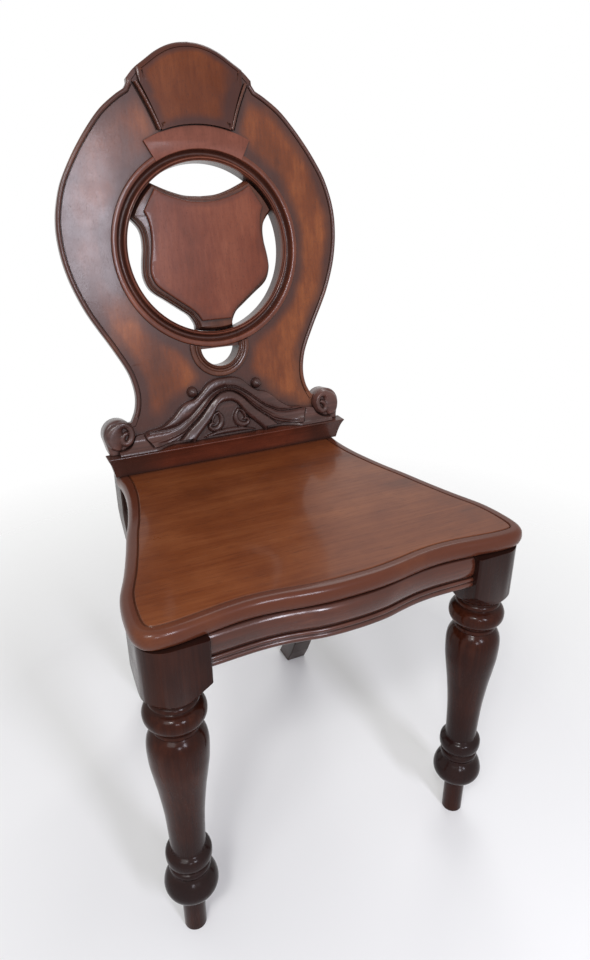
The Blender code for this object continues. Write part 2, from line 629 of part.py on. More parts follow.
def make_frame(chair, cutters, root):
    """Legs and rails with their joints."""
    front_rail = make_front_rail(chair, cutters, root)
    inner = REAR_TOP_INNER_X
    back_rail = box("back_rail", (-inner + GAP, BACK_RAIL_Y, SIDE_BOTTOM),
                    (inner - GAP, BACK_RAIL_Y + BACK_RAIL_THICK, UNDER_SEAT), chair, root)
    z0 = TENON_Z - TENON_HEIGHT / 2
    z1 = TENON_Z + TENON_HEIGHT / 2
    half = TENON_THICK / 2
    for side, word in ((-1, "left"), (1, "right")):
        front_leg = make_front_leg("front_leg_" + word, side, chair, cutters, root)
        rear_leg = make_rear_leg("rear_leg_" + word, side, chair, root)
        side_rail = make_side_rail("side_rail_" + word, side, chair, root)
        face = LEG_X - BLOCK_HALF - GAP
        xs = sorted((side * (face - TENON_ROOT), side * (face + FRONT_TENON_LENGTH)))
        tenon("front_tenon_" + word, front_rail, front_leg, (xs[0], FRONT_TENON_Y - half, z0),
              (xs[1], FRONT_TENON_Y + half, z1), cutters, root)
        xs = sorted((side * (SIDE_FRONT_TENON_X - half), side * (SIDE_FRONT_TENON_X + half)))
        tenon("side_front_tenon_" + word, side_rail, front_leg,
              (xs[0], BLOCK_HALF - SIDE_FRONT_TENON_LENGTH, z0), (xs[1], BLOCK_HALF + TENON_ROOT, z1),
              cutters, root)
        xs = sorted((side * (SIDE_REAR_TENON_X - half), side * (SIDE_REAR_TENON_X + half)))
        tenon("side_rear_tenon_" + word, side_rail, rear_leg, (xs[0], SEAT_NOTCH_Y - TENON_ROOT, z0),
              (xs[1], SEAT_NOTCH_Y + SIDE_REAR_TENON_LENGTH, z1), cutters, root)
        xs = sorted((side * (inner - TENON_ROOT), side * (inner + BACK_TENON_LENGTH)))
        middle = BACK_RAIL_Y + BACK_RAIL_THICK / 2
        tenon("back_tenon_" + word, back_rail, rear_leg, (xs[0], middle - half, z0),
              (xs[1], middle + half, z1), cutters, root)
        finish(front_leg, "polished", 0.27)
        finish(rear_leg, "dark", 0.35)
        finish(side_rail, "dark", 0.4)
    finish(front_rail, "polished", 0.27)
    finish(back_rail, "dark", 0.4)


def make_glue_block(name, x, y, seat, chair, cutters, root):
    """A glue block under the seat, with the screw that holds the seat down."""
    low = (x - BLOCK_LENGTH / 2, y, UNDER_SEAT - BLOCK_HEIGHT)
    high = (x + BLOCK_LENGTH / 2, y + BLOCK_SIZE, UNDER_SEAT)
    block = box(name, low, high, chair, root)
    screw_name = name.replace("glue_block", "seat_screw")
    base = UNDER_SEAT - BLOCK_HEIGHT + SCREW_SUNK
    length = SCREW_LENGTH
    head = SCREW_HEAD_HEIGHT
    profile = [(0.0, length), (SCREW_RADIUS / 2, length - SCREW_RADIUS),
               (SCREW_RADIUS, length - 3 * SCREW_RADIUS), (SCREW_RADIUS, head), (SCREW_HEAD_RADIUS, 0.0),
               (0.0, 0.0)]
    screw = turned(screw_name, profile, 10, chair, root)
    screw.location = (x, y + BLOCK_SIZE / 2, base)
    wide = SCREW_RADIUS + GAP
    mouth = SCREW_HEAD_RADIUS + 2 * GAP
    hole_profile = [(0.0, length + GAP), (wide, length + GAP), (wide, head + GAP), (mouth, 0.0),
                    (mouth, -2 * SCREW_SUNK), (0.0, -2 * SCREW_SUNK)]
    hole = turned("cut_" + screw_name, hole_profile, 10, cutters, screw)
    hide(hole)
    boolean(block, hole, "DIFFERENCE")
    boolean(seat, hole, "DIFFERENCE")
    finish(block, "inner", 0.6)
    finish(screw, "steel", 0.35, 1.0)


def board_outline():
    """Whole outline of the back board: foot, lobes behind the volutes, balloon and crest."""
    half = [(LOBE_X + LOBE_RADIUS * math.cos(LOBE_START), -BOARD_TAIL)]
    for i in range(LOBE_POINTS):
        angle = LOBE_START + LOBE_TURN * i / (LOBE_POINTS - 1)
        half.append((LOBE_X + LOBE_RADIUS * math.cos(angle), LOBE_S + LOBE_RADIUS * math.sin(angle)))
    half += through(sized(BOARD_SHARES, BOARD_HALF_WIDTH, BOARD_HEIGHT), BOARD_POINTS)
    crest = sized(CREST_SHARES, BOARD_HALF_WIDTH, BOARD_HEIGHT)
    half += [crest[0]] + through(crest[1:], CREST_POINTS)
    return mirrored(half)


def board_section():
    """Edge of the back board from its back face to its front face."""
    w = EDGE_WIDTH
    r = EDGE_RISE
    return [(-EDGE_BEVEL, -BOARD_THICK), (0.0, -EDGE_SIDE), (0.0, -r / 2), (-0.10 * w, 0.55 * r),
            (-0.40 * w, r), (-0.70 * w, 0.55 * r), (-0.86 * w, -0.55 * r), (-w, 0.0)]


def keystone_outline(grow):
    """Keystone between its beads, grown sideways by the given width."""
    low_angle = math.acos((KEY_LOW_X - BEAD_WIDTH) / ARC_OUTER)
    half = arc(RING_S, ARC_OUTER + 2 * GAP - grow, math.pi / 2, low_angle, 8)
    half[-1] = (half[-1][0] + grow, half[-1][1])
    side_low = Vector(half[-1])
    side_top = Vector((KEY_TOP_X - BEAD_WIDTH + grow, KEY_TOP_S + EDGE_WIDTH))
    across = Vector((-(side_top - side_low).y, (side_top - side_low).x)).normalized()
    for share in (0.25, 0.5, 0.75):
        middle = side_low.lerp(side_top, share) + across * KEY_SIDE_HOLLOW * 4 * share * (1 - share)
        half.append((middle.x, middle.y))
    crest = through(sized(CREST_SHARES[1:], BOARD_HALF_WIDTH, BOARD_HEIGHT), CREST_POINTS)
    half.append((side_top.x, value_at([(-x, s) for x, s in crest], -side_top.x)))
    half += [(x, s) for x, s in crest if x < side_top.x]
    return mirrored(half)


def make_back_board(chair, cutters, root, frame):
    """The balloon board with its round hole, the rebate of the ring and the half moon."""
    board = moulded("back_board", board_outline(), board_section(), chair, frame)
    deep = 2 * BOARD_THICK
    hole = rod("cut_round_hole", RING_INNER, 2 * deep, RING_STEPS, cutters, frame)
    hole.location = (0.0, RING_S, -deep)
    rebate = rod("cut_ring_rebate", RING_OUTER + GAP, deep, RING_STEPS, cutters, frame)
    rebate.location = (0.0, RING_S, -RING_SEAT - GAP)
    level = RING_S - RING_OUTER - MOON_LIP
    start = math.asin((level - MOON_S) / MOON_INNER)
    moon_outline = arc(MOON_S, MOON_INNER, start, -math.pi - start, 21)
    moon = slab("cut_half_moon", moon_outline, -deep, deep, cutters, frame)
    key_bed = keystone_outline(BEAD_WIDTH + EDGE_WIDTH)
    clear_key = slab("cut_key_bed", key_bed, BED_CLEAR, deep, cutters, frame)
    low = box("cut_carving_bed", (-BOARD_HALF_WIDTH, -deep, BED_CLEAR),
              (BOARD_HALF_WIDTH, LOBE_S + LOBE_RADIUS + GAP, deep), cutters, frame)
    level_cut = box("cut_board_foot", (-BOARD_HALF_WIDTH, PLINTH_FRONT - deep, SEAT_TOP - deep),
                    (BOARD_HALF_WIDTH, PLINTH_REAR + deep, PLINTH_TOP + GAP), cutters, root)
    for cutter in (clear_key, low, level_cut, hole, rebate, moon):
        boolean(board, hide(cutter), "DIFFERENCE")
    return finish(board, "warm", 0.28)


def make_roundel(chair, cutters, frame):
    """Ring moulding, half ring, shield web and shield face."""
    width = RING_OUTER - RING_INNER
    profile = [(RING_INNER + share * width, height * RING_DEPTH - RING_SEAT) for share, height in RING_SHARES]
    loop = [(RING_INNER, -RING_SEAT)] + list(reversed(profile)) + [(RING_OUTER, -RING_SEAT)]
    ring = turned("ring_moulding", loop, RING_STEPS, chair, frame, True)
    ring.location = (0.0, RING_S, 0.0)
    finish(ring, "polished", 0.25)

    width = MOON_OUTER - MOON_INNER
    profile = [(MOON_INNER + share * width, GAP + height * MOON_RISE) for share, height in MOON_SHARES]
    loop = [(MOON_INNER, GAP)] + list(reversed(profile)) + [(MOON_OUTER, GAP)]
    half_ring = turned("half_ring_moulding", loop, MOON_STEPS, chair, frame, True)
    half_ring.location = (0.0, MOON_S, 0.0)
    clear = rod("cut_half_ring", RING_OUTER + 2 * GAP, 2 * BOARD_THICK, 2 * RING_STEPS, cutters, frame)
    clear.location = (0.0, RING_S, -BOARD_THICK)
    boolean(half_ring, hide(clear), "DIFFERENCE")
    finish(half_ring, "polished", 0.27)

    inner = RING_INNER - GAP
    shares_top = sized(WEB_TOP_SHARES, SHIELD_HALF_WIDTH, SHIELD_HEIGHT)
    ear = arc(RING_S, inner, EAR_TOP_ANGLE, EAR_LOW_ANGLE, 5)
    top = through([(x, RING_S + s) for x, s in shares_top] + [ear[0]], 6)
    side = [(x, RING_S + s) for x, s in sized(WEB_SIDE_SHARES, SHIELD_HALF_WIDTH, SHIELD_HEIGHT)]
    foot = arc(RING_S, inner, -math.pi / 2 + FOOT_HALF_ANGLE, -math.pi / 2, 4)
    half = top + ear[1:] + through(side, 16) + foot
    b = -WEB_BACK
    f = -WEB_FRONT
    section = [(-0.16 * WEB_STEP, b), (0.0, b + 0.16 * WEB_STEP), (0.0, f - 1.55 * WEB_STEP),
               (-0.22 * WEB_STEP, f - 1.25 * WEB_STEP), (-0.30 * WEB_STEP, f - 0.80 * WEB_STEP),
               (-0.62 * WEB_STEP, f - 0.55 * WEB_STEP), (-0.66 * WEB_STEP, f - 0.12 * WEB_STEP),
               (-0.80 * WEB_STEP, f)]
    web = moulded("shield_web", mirrored(half), section, chair, frame)
    finish(web, "polished", 0.3)

    points = [(x, RING_S + s) for x, s in sized(FACE_SHARES, SHIELD_HALF_WIDTH, SHIELD_HEIGHT)]
    a, b, c = FACE_CORNERS
    half = through(points[:a + 1], 7) + through(points[b:c + 1], 19)
    level = f + GAP
    section = [(0.0, level), (0.0, FACE_RISE - FACE_BEVEL), (-FACE_BEVEL, FACE_RISE)]
    face = moulded("shield_face", mirrored(half), section, chair, frame)
    finish(face, "warm", 0.25)


def make_crest(chair, frame):
    """Keystone, its beads and the arc under it."""
    section = [(0.0, GAP), (0.0, 0.30 * KEY_RISE), (-0.45 * KEY_RISE, 0.80 * KEY_RISE),
               (-1.1 * KEY_RISE, KEY_RISE)]
    key = moulded("crest_keystone", keystone_outline(-GAP), section, chair, frame)
    finish(key, "warm", 0.27)

    arch = arc(RING_S, ARC_OUTER, math.pi / 2, math.pi / 2 - ARC_HALF_ANGLE, ARC_POINTS // 2)
    under = arc(RING_S, RING_OUTER + 2 * GAP, math.pi / 2 - ARC_HALF_ANGLE, math.pi / 2, ARC_POINTS // 2)
    left_arch = [(-x, s) for x, s in reversed(arch[1:])]
    left_under = [(-x, s) for x, s in reversed(under[:-1])]
    outline = left_arch + arch + under + left_under
    section = [(0.0, GAP), (0.0, 0.75 * ARC_RISE), (-0.3 * ARC_RISE, ARC_RISE)]
    band = moulded("crest_arc", outline, section, chair, frame)
    finish(band, "warm", 0.27)

    low = Vector((KEY_LOW_X - BEAD_WIDTH / 2, 0.0))
    low.y = RING_S + math.sqrt(ARC_OUTER ** 2 - low.x ** 2) + BEAD_WIDTH / 2
    high = Vector((KEY_TOP_X - BEAD_WIDTH / 2, KEY_TOP_S + BEAD_WIDTH / 2))
    across = Vector((-(high - low).y, (high - low).x)).normalized()
    path = []
    for i in range(9):
        share = i / 8
        middle = low.lerp(high, share) + across * KEY_SIDE_HOLLOW * 4 * share * (1 - share)
        path.append((middle.x, middle.y))
    half = BEAD_WIDTH / 2 - GAP
    section = [(-half, GAP), (half, GAP), (half, 0.60 * BEAD_RISE), (0.55 * half, 0.93 * BEAD_RISE),
               (-0.55 * half, 0.93 * BEAD_RISE), (-half, 0.60 * BEAD_RISE)]
    for side, word in ((-1, "left"), (1, "right")):
        bead = swept("crest_bead_" + word, [(side * x, s) for x, s in path], section, chair, frame)
        finish(bead, "polished", 0.27)


def make_carving(board, chair, cutters, frame):
    """Carved band, its scroll moulding, bosses, balls and volutes."""
    top = sized(CARVING_SHARES, CARVING_SPREAD, CARVING_HEIGHT)
    bend = arc(LOBE_S, VOLUTE_RADIUS + GAP, CARVING_ARC_START, CARVING_ARC_END, 7)
    beside = [(LOBE_X + x, y) for x, y in bend]
    half = [(CARVING_FOOT_X, CARVING_BOTTOM)] + beside + through(top, 24)
    section = [(0.0, GAP), (0.0, 0.6 * CARVING_RISE), (-0.35 * CARVING_RISE, CARVING_RISE)]
    plate = moulded("carved_band", mirrored(half), section, chair, frame)
    finish(plate, "dark", 0.3)

    right = through(sized(SCROLL_SHARES, CARVING_SPREAD, CARVING_HEIGHT), 17)
    path = right + [(-x, s) for x, s in reversed(right[:-1])]
    base = CARVING_RISE + GAP
    w = SCROLL_HALF_WIDTH
    r = SCROLL_RISE
    section = [(-w, base), (w, base), (w, base + 0.45 * r), (0.72 * w, base + 0.80 * r),
               (0.42 * w, base + 0.45 * r), (0.0, base + r), (-0.42 * w, base + 0.45 * r),
               (-0.72 * w, base + 0.80 * r), (-w, base + 0.45 * r)]
    scroll = swept("scroll_moulding", path, section, chair, frame)
    finish(scroll, "dark", 0.27)

    for side, word in ((-1, "left"), (1, "right")):
        ball_profile = [(BALL_RADIUS * math.cos(a), GAP + 1.15 * BALL_RADIUS * math.sin(a))
                        for a in [math.radians(90.0 - 18.0 * i) for i in range(6)]]
        ball_profile[0] = (0.0, ball_profile[0][1])
        ball = turned("carved_ball_" + word, ball_profile + [(0.0, GAP)], 12, chair, frame)
        ball.location = (side * BALL_X, BALL_S, 0.0)
        boolean(plate, hide(ball_bed(word, side, cutters, frame)), "DIFFERENCE")
        finish(ball, "dark", 0.25)
        leaf_profile = [(0.0, LEAF_RISE), (0.35 * LEAF_RADIUS, 0.92 * LEAF_RISE),
                        (0.62 * LEAF_RADIUS, 0.55 * LEAF_RISE), (0.80 * LEAF_RADIUS, 0.85 * LEAF_RISE),
                        (LEAF_RADIUS, 0.35 * LEAF_RISE), (LEAF_RADIUS, 0.0), (0.0, 0.0)]
        leaf = turned("carved_leaf_scroll_" + word, leaf_profile, 14, chair, frame)
        leaf.location = (side * LEAF_X, LEAF_S, base)
        finish(leaf, "dark", 0.27)
        edge = sized(VOLUTE_SHARES, VOLUTE_RADIUS, VOLUTE_RISE)
        profile = [(0.0, VOLUTE_RISE)] + list(reversed(edge))
        profile += [(VOLUTE_RADIUS, -EDGE_SIDE), (VOLUTE_BACK_RADIUS, -VOLUTE_BACK), (0.0, -VOLUTE_BACK)]
        volute = turned("volute_" + word, profile, 22, chair, frame)
        volute.location = (side * LOBE_X, LOBE_S, 0.0)
        bed = rod("cut_volute_bed_" + word, VOLUTE_RADIUS + GAP, 4 * BOARD_THICK, 44, cutters, frame)
        bed.location = (side * LOBE_X, LOBE_S, -2 * BOARD_THICK)
        boolean(board, hide(bed), "DIFFERENCE")
        finish(volute, "dark", 0.25)
    boss_outline = [(BOSS_HALF_WIDTH * math.cos(a), BOSS_S + BOSS_HALF_HEIGHT * math.sin(a))
                    for a in [math.radians(360.0 * i / 24) for i in range(24)]]
    section = [(0.0, base), (0.0, base + 0.4 * BOSS_RISE), (-0.7 * BOSS_RISE, base + BOSS_RISE)]
    boss = moulded("carved_boss", boss_outline, section, chair, frame)
    finish(boss, "dark", 0.3)


def ball_bed(word, side, cutters, frame):
    """The hole in the carved band that a ball sits in."""
    bed = rod("cut_ball_bed_" + word, BALL_RADIUS + GAP, 4 * CARVING_RISE, 16, cutters, frame)
    bed.location = (side * BALL_X, BALL_S, -2 * CARVING_RISE)
    return bed


def make_plinth(chair, cutters, root):
    """The plinth under the back: a block with a face that flares out at its front and ends."""
    bottom = SEAT_TOP + GAP
    behind = PLINTH_REAR + PLINTH_FLARE
    outline = [(-PLINTH_HALF_WIDTH, PLINTH_FRONT), (PLINTH_HALF_WIDTH, PLINTH_FRONT),
               (PLINTH_HALF_WIDTH, behind), (-PLINTH_HALF_WIDTH, behind)]
    section = [(flare, bottom + z) for flare, z in sized(PLINTH_SHARES, PLINTH_FLARE, PLINTH_TOP - bottom)]
    plinth = moulded("plinth", outline, section, chair, root)
    far = PLINTH_REAR + 4 * PLINTH_FLARE
    wide = PLINTH_HALF_WIDTH + 2 * PLINTH_FLARE
    low = bottom - SEAT_THICK
    high = PLINTH_TOP + SEAT_THICK
    rear = box("cut_plinth_rear", (-wide, PLINTH_REAR, low), (wide, far, high), cutters, root)
    boolean(plinth, hide(rear), "DIFFERENCE")
    for side, word in ((-1, "left"), (1, "right")):
        xs = sorted((side * PLINTH_CORE_HALF_WIDTH, side * wide))
        end = box("cut_plinth_end_" + word, (xs[0], PLINTH_STRIP_REAR, low), (xs[1], far, high),
                  cutters, root)
        boolean(plinth, hide(end), "DIFFERENCE")
    return finish(plinth, "dark", 0.3)


def make_dowels(seat, plinth, board, chair, cutters, frame):
    """Three dowels that hold the back."""
    length = DOWEL_TOP - DOWEL_FOOT
    for x, word in ((-DOWEL_SPACING, "left"), (0.0, "centre"), (DOWEL_SPACING, "right")):
        r = DOWEL_RADIUS
        c = DOWEL_CHAMFER
        profile = [(0.0, length), (r - c, length), (r, length - c), (r, c), (r - c, 0.0), (0.0, 0.0)]
        dowel = turned("back_dowel_" + word, profile, 14, chair, frame)
        dowel.location = (x, DOWEL_FOOT, -BOARD_THICK / 2)
        dowel.rotation_euler = (-math.pi / 2, 0.0, 0.0)
        hole = rod("cut_back_dowel_" + word, r + GAP, length + 2 * GAP, 14, cutters, frame)
        hole.location = (x, DOWEL_FOOT - GAP, -BOARD_THICK / 2)
        hole.rotation_euler = (-math.pi / 2, 0.0, 0.0)
        hide(hole)
        for piece in (seat, plinth, board):
            boolean(piece, hole, "DIFFERENCE")
        finish(dowel, "inner", 0.6)


def centre_on_origin(chair, root):
    """Moves the chair so that its box is centred on the origin in plan."""
    bpy.context.view_layer.update()
    graph = bpy.context.evaluated_depsgraph_get()
    low = math.inf
    high = -math.inf
    for obj in chair.objects:
        if obj.type != "MESH":
            continue
        shown = obj.evaluated_get(graph)
        for vert in shown.data.vertices:
            y = (shown.matrix_world @ vert.co).y
            low = min(low, y)
            high = max(high, y)
    root.location.y = -(low + high) / 2
    bpy.context.view_layer.update()


def main():
    for obj in list(bpy.data.objects):
        bpy.data.objects.remove(obj)
    chair = bpy.data.collections.new("hall_chair")
    cutters = bpy.data.collections.new("cutters")
    for group in (chair, cutters):
        bpy.context.scene.collection.children.link(group)
    root = bpy.data.objects.new("chair_root", None)
    chair.objects.link(root)
    frame = link(bpy.data.objects.new("back_frame", None), chair, root)
    frame.location = (0.0, BACK_Y + PLINTH_HEIGHT * math.tan(BACK_TILT), PLINTH_TOP)
    frame.rotation_euler = (math.pi / 2 - BACK_TILT, 0.0, 0.0)

    seat = make_seat(chair, cutters, root)
    make_frame(chair, cutters, root)
    front_y = RAIL_BACK + GAP
    rear_y = BACK_RAIL_Y - GAP - BLOCK_SIZE
    for side, word in ((-1, "left"), (1, "right")):
        make_glue_block("glue_block_front_" + word, side * FRONT_GLUE_X, front_y, seat, chair, cutters, root)
        make_glue_block("glue_block_rear_" + word, side * REAR_GLUE_X, rear_y, seat, chair, cutters, root)
    board = make_back_board(chair, cutters, root, frame)
    make_roundel(chair, cutters, frame)
    make_crest(chair, frame)
    make_carving(board, chair, cutters, frame)
    plinth = make_plinth(chair, cutters, root)
    make_dowels(seat, plinth, board, chair, cutters, frame)
    centre_on_origin(chair, root)


main()
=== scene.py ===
"""Hall chair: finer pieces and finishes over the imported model, camera, light and floor."""
import math

import bmesh
import bpy
import numpy as np
from mathutils import Matrix, Vector


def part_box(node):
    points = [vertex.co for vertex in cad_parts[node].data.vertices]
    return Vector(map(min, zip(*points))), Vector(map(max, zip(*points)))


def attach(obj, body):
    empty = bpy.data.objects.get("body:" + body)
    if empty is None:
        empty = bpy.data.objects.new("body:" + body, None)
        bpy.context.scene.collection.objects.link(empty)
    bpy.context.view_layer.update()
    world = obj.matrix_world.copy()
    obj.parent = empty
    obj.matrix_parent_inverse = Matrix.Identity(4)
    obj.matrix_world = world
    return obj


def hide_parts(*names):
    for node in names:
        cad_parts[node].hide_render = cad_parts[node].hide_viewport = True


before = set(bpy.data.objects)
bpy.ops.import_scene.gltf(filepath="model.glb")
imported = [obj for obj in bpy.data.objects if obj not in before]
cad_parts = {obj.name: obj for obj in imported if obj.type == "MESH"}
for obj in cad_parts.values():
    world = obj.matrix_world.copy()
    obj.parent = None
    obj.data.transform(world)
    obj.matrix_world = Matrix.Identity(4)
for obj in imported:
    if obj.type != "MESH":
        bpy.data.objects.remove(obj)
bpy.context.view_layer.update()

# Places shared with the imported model, in metres
GAP = 0.0003
MERGE = 0.000002
CLOSE = 0.00001
SKIN = 0.0001
FAR_X = 0.3
CUT_HALF = 0.2
SIDES = ((-1, "left"), (1, "right"))
LEG_LOW, LEG_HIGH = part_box("front_leg_left")
SHIFT_Y = (LEG_LOW.y + LEG_HIGH.y) / 2
LEG_X = -(LEG_LOW.x + LEG_HIGH.x) / 2
SEAT_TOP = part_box("seat_board")[1].z
PLINTH_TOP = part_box("plinth")[1].z
REAR_Y = 0.3095
ROOT = Matrix.Translation((0.0, SHIFT_Y, 0.0))
BACK_TILT = math.radians(10.17)
BACK_Y = REAR_Y - 0.003
PLINTH_HEIGHT = 0.028
BACK = (ROOT @ Matrix.Translation((0.0, BACK_Y + PLINTH_HEIGHT * math.tan(BACK_TILT), PLINTH_TOP))
        @ Matrix.Rotation(math.pi / 2 - BACK_TILT, 4, "X"))


# Shapes

def placed(name, data):
    """A new object in the scene."""
    made = bpy.data.objects.new(name, data)
    bpy.context.scene.collection.objects.link(made)
    return made


def through(points, count):
    """Evenly spread points along a smooth curve through the given ones."""
    vectors = [Vector((p[0], p[1])) for p in points]
    ends = [2 * vectors[0] - vectors[1]] + vectors + [2 * vectors[-1] - vectors[-2]]
    fine = []
    per_span = 24
    for i in range(1, len(ends) - 2):
        p0, p1, p2, p3 = ends[i - 1], ends[i], ends[i + 1], ends[i + 2]
        for k in range(per_span):
            t = k / per_span
            fine.append(0.5 * (2 * p1 + (p2 - p0) * t + (2 * p0 - 5 * p1 + 4 * p2 - p3) * t * t
                               + (3 * p1 - p0 - 3 * p2 + p3) * t ** 3))
    fine.append(vectors[-1])
    lengths = [0.0]
    for a, b in zip(fine, fine[1:]):
        lengths.append(lengths[-1] + (b - a).length)
    spread = []
    place = 0
    for i in range(count):
        wanted = lengths[-1] * i / (count - 1)
        while place < len(lengths) - 2 and lengths[place + 1] < wanted:
            place += 1
        step = lengths[place + 1] - lengths[place]
        share = (wanted - lengths[place]) / step
        spread.append(fine[place].lerp(fine[place + 1], min(max(share, 0.0), 1.0)))
    return [(p.x, p.y) for p in spread]


def value_at(pairs, key):
    """Straight-line reading of a table of (key, value) pairs."""
    for (k0, v0), (k1, v1) in zip(pairs, pairs[1:]):
        if key <= k1:
            return v0 + (v1 - v0) * (key - k0) / (k1 - k0)
    return pairs[-1][1]


def sized(shares, width, height):
    """Turns a list of shares into lengths."""
    return [(x * width, y * height) for x, y in shares]


def mirrored(half):
    """Closes a half outline that starts and ends on x = 0 or crosses it by a straight edge."""
    other = [(-x, y) for x, y in reversed(half) if abs(x) > MERGE]
    return list(half) + other


def both_sides(half):
    """A line from one side on to its mirror image, as an array."""
    line = np.array(half)
    return np.concatenate([line, line[::-1] * (-1.0, 1.0)])


def arc(centre_y, radius, start, end, count):
    """Points on an arc about (0, centre_y), angles from the x axis."""
    angles = [start + (end - start) * i / (count - 1) for i in range(count)]
    return [(radius * math.cos(a), centre_y + radius * math.sin(a)) for a in angles]


def poly_curve(name, outline, closed):
    """A flat polyline curve object."""
    curve = bpy.data.curves.new(name, "CURVE")
    curve.dimensions = "2D"
    spline = curve.splines.new("POLY")
    spline.points.add(len(outline) - 1)
    for point, (x, y) in zip(spline.points, outline):
        point.co = (x, y, 0.0, 1.0)
    spline.use_cyclic_u = closed
    return placed(name, curve)


def drop(obj):
    """Removes a helper object and its data."""
    data = obj.data
    bpy.data.objects.remove(obj)
    if isinstance(data, bpy.types.Mesh):
        bpy.data.meshes.remove(data)
    else:
        bpy.data.curves.remove(data)


def curve_to_mesh(curve_obj, name):
    """The welded mesh of a curve, as a new object."""
    graph = bpy.context.evaluated_depsgraph_get()
    mesh = bpy.data.meshes.new_from_object(curve_obj.evaluated_get(graph))
    work = bmesh.new()
    work.from_mesh(mesh)
    bmesh.ops.remove_doubles(work, verts=work.verts[:], dist=MERGE)
    bmesh.ops.recalc_face_normals(work, faces=work.faces[:])
    work.to_mesh(mesh)
    work.free()
    drop(curve_obj)
    mesh.name = name
    return placed(name, mesh)


def drawn(name, path, section, closed, setting, value):
    """A section drawn along a path, one of them closed, with the curve setting that fills it."""
    guide = poly_curve(name + "_section", section, not closed)
    shape = poly_curve(name + "_path", path, closed)
    setattr(shape.data, setting, value)
    shape.data.bevel_mode = "OBJECT"
    shape.data.bevel_object = guide
    piece = curve_to_mesh(shape, name)
    drop(guide)
    return piece


def moulded(name, outline, section):
    """A flat piece whose edge follows a section of (outward offset, height), from back to front."""
    return drawn(name, outline, [(-out, height) for out, height in section], True, "fill_mode", "BOTH")


def swept(name, path, section):
    """A closed section of (sideways offset, height) drawn along a flat path, ends capped."""
    return drawn(name, path, section, False, "use_fill_caps", True)


def slab(name, outline, low, high):
    """A flat outline given the thickness from low to high."""
    return moulded(name, outline, [(0.0, low), (0.0, high)])


def turned(name, profile, steps, closed=False):
    """A profile of (radius, height), top to bottom on its outer side, turned about Z."""
    mesh = bpy.data.meshes.new(name)
    edges = [(i, i + 1) for i in range(len(profile) - 1)]
    if closed:
        edges.append((len(profile) - 1, 0))
    mesh.from_pydata([(r, 0.0, z) for r, z in profile], edges, [])
    piece = placed(name, mesh)
    screw = piece.modifiers.new("Turn", "SCREW")
    screw.axis = "Z"
    screw.angle = 2 * math.pi
    screw.steps = steps
    screw.render_steps = steps
    screw.use_merge_vertices = True
    screw.merge_threshold = MERGE
    return piece


def turned_round(name, profile, steps, place, closed=True):
    """A turned piece, applied and moved to its place on the back."""
    piece = turned(name, profile, steps, closed)
    apply(piece)
    piece.data.transform(Matrix.Translation((place[0], place[1], 0.0)))
    return piece


def box(name, low, high):
    """A box between two corners, used as a cutter."""
    mesh = bpy.data.meshes.new(name)
    work = bmesh.new()
    bmesh.ops.create_cube(work, size=1.0)
    for vert in work.verts:
        vert.co = Vector([high[i] if vert.co[i] > 0 else low[i] for i in range(3)])
    work.to_mesh(mesh)
    work.free()
    return placed(name, mesh)


def rod(name, radius, length, sides, place):
    """An upright cylinder with its foot at a place, used as a cutter."""
    mesh = bpy.data.meshes.new(name)
    work = bmesh.new()
    bmesh.ops.create_cone(work, cap_ends=True, segments=sides, radius1=radius, radius2=radius, depth=length,
                          matrix=Matrix.Translation(Vector(place) + Vector((0.0, 0.0, length / 2))))
    work.to_mesh(mesh)
    work.free()
    return placed(name, mesh)


def cut(piece, *cutters, operation="DIFFERENCE"):
    """Cuts a piece with others and removes them. The result is applied."""
    for other in cutters:
        modifier = piece.modifiers.new("Cut", "BOOLEAN")
        modifier.operation = operation
        modifier.solver = "EXACT"
        modifier.object = other
    apply(piece)
    for other in cutters:
        drop(other)
    return piece


def apply(piece):
    """Applies all modifiers."""
    graph = bpy.context.evaluated_depsgraph_get()
    mesh = bpy.data.meshes.new_from_object(piece.evaluated_get(graph))
    old = piece.data
    piece.modifiers.clear()
    piece.data = mesh
    bpy.data.meshes.remove(old)


def settle(piece, matrix, finish, nodes, sharp=32.0):
    """Moves a piece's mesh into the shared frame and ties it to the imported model."""
    if piece.modifiers:
        apply(piece)
    piece.data.transform(matrix)
    piece.data.materials.clear()
    piece.data.materials.append(finish)
    piece.data.shade_smooth()
    piece.data.set_sharp_from_angle(angle=math.radians(sharp))
    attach(piece, "root")
    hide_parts(*nodes)


# Finishes

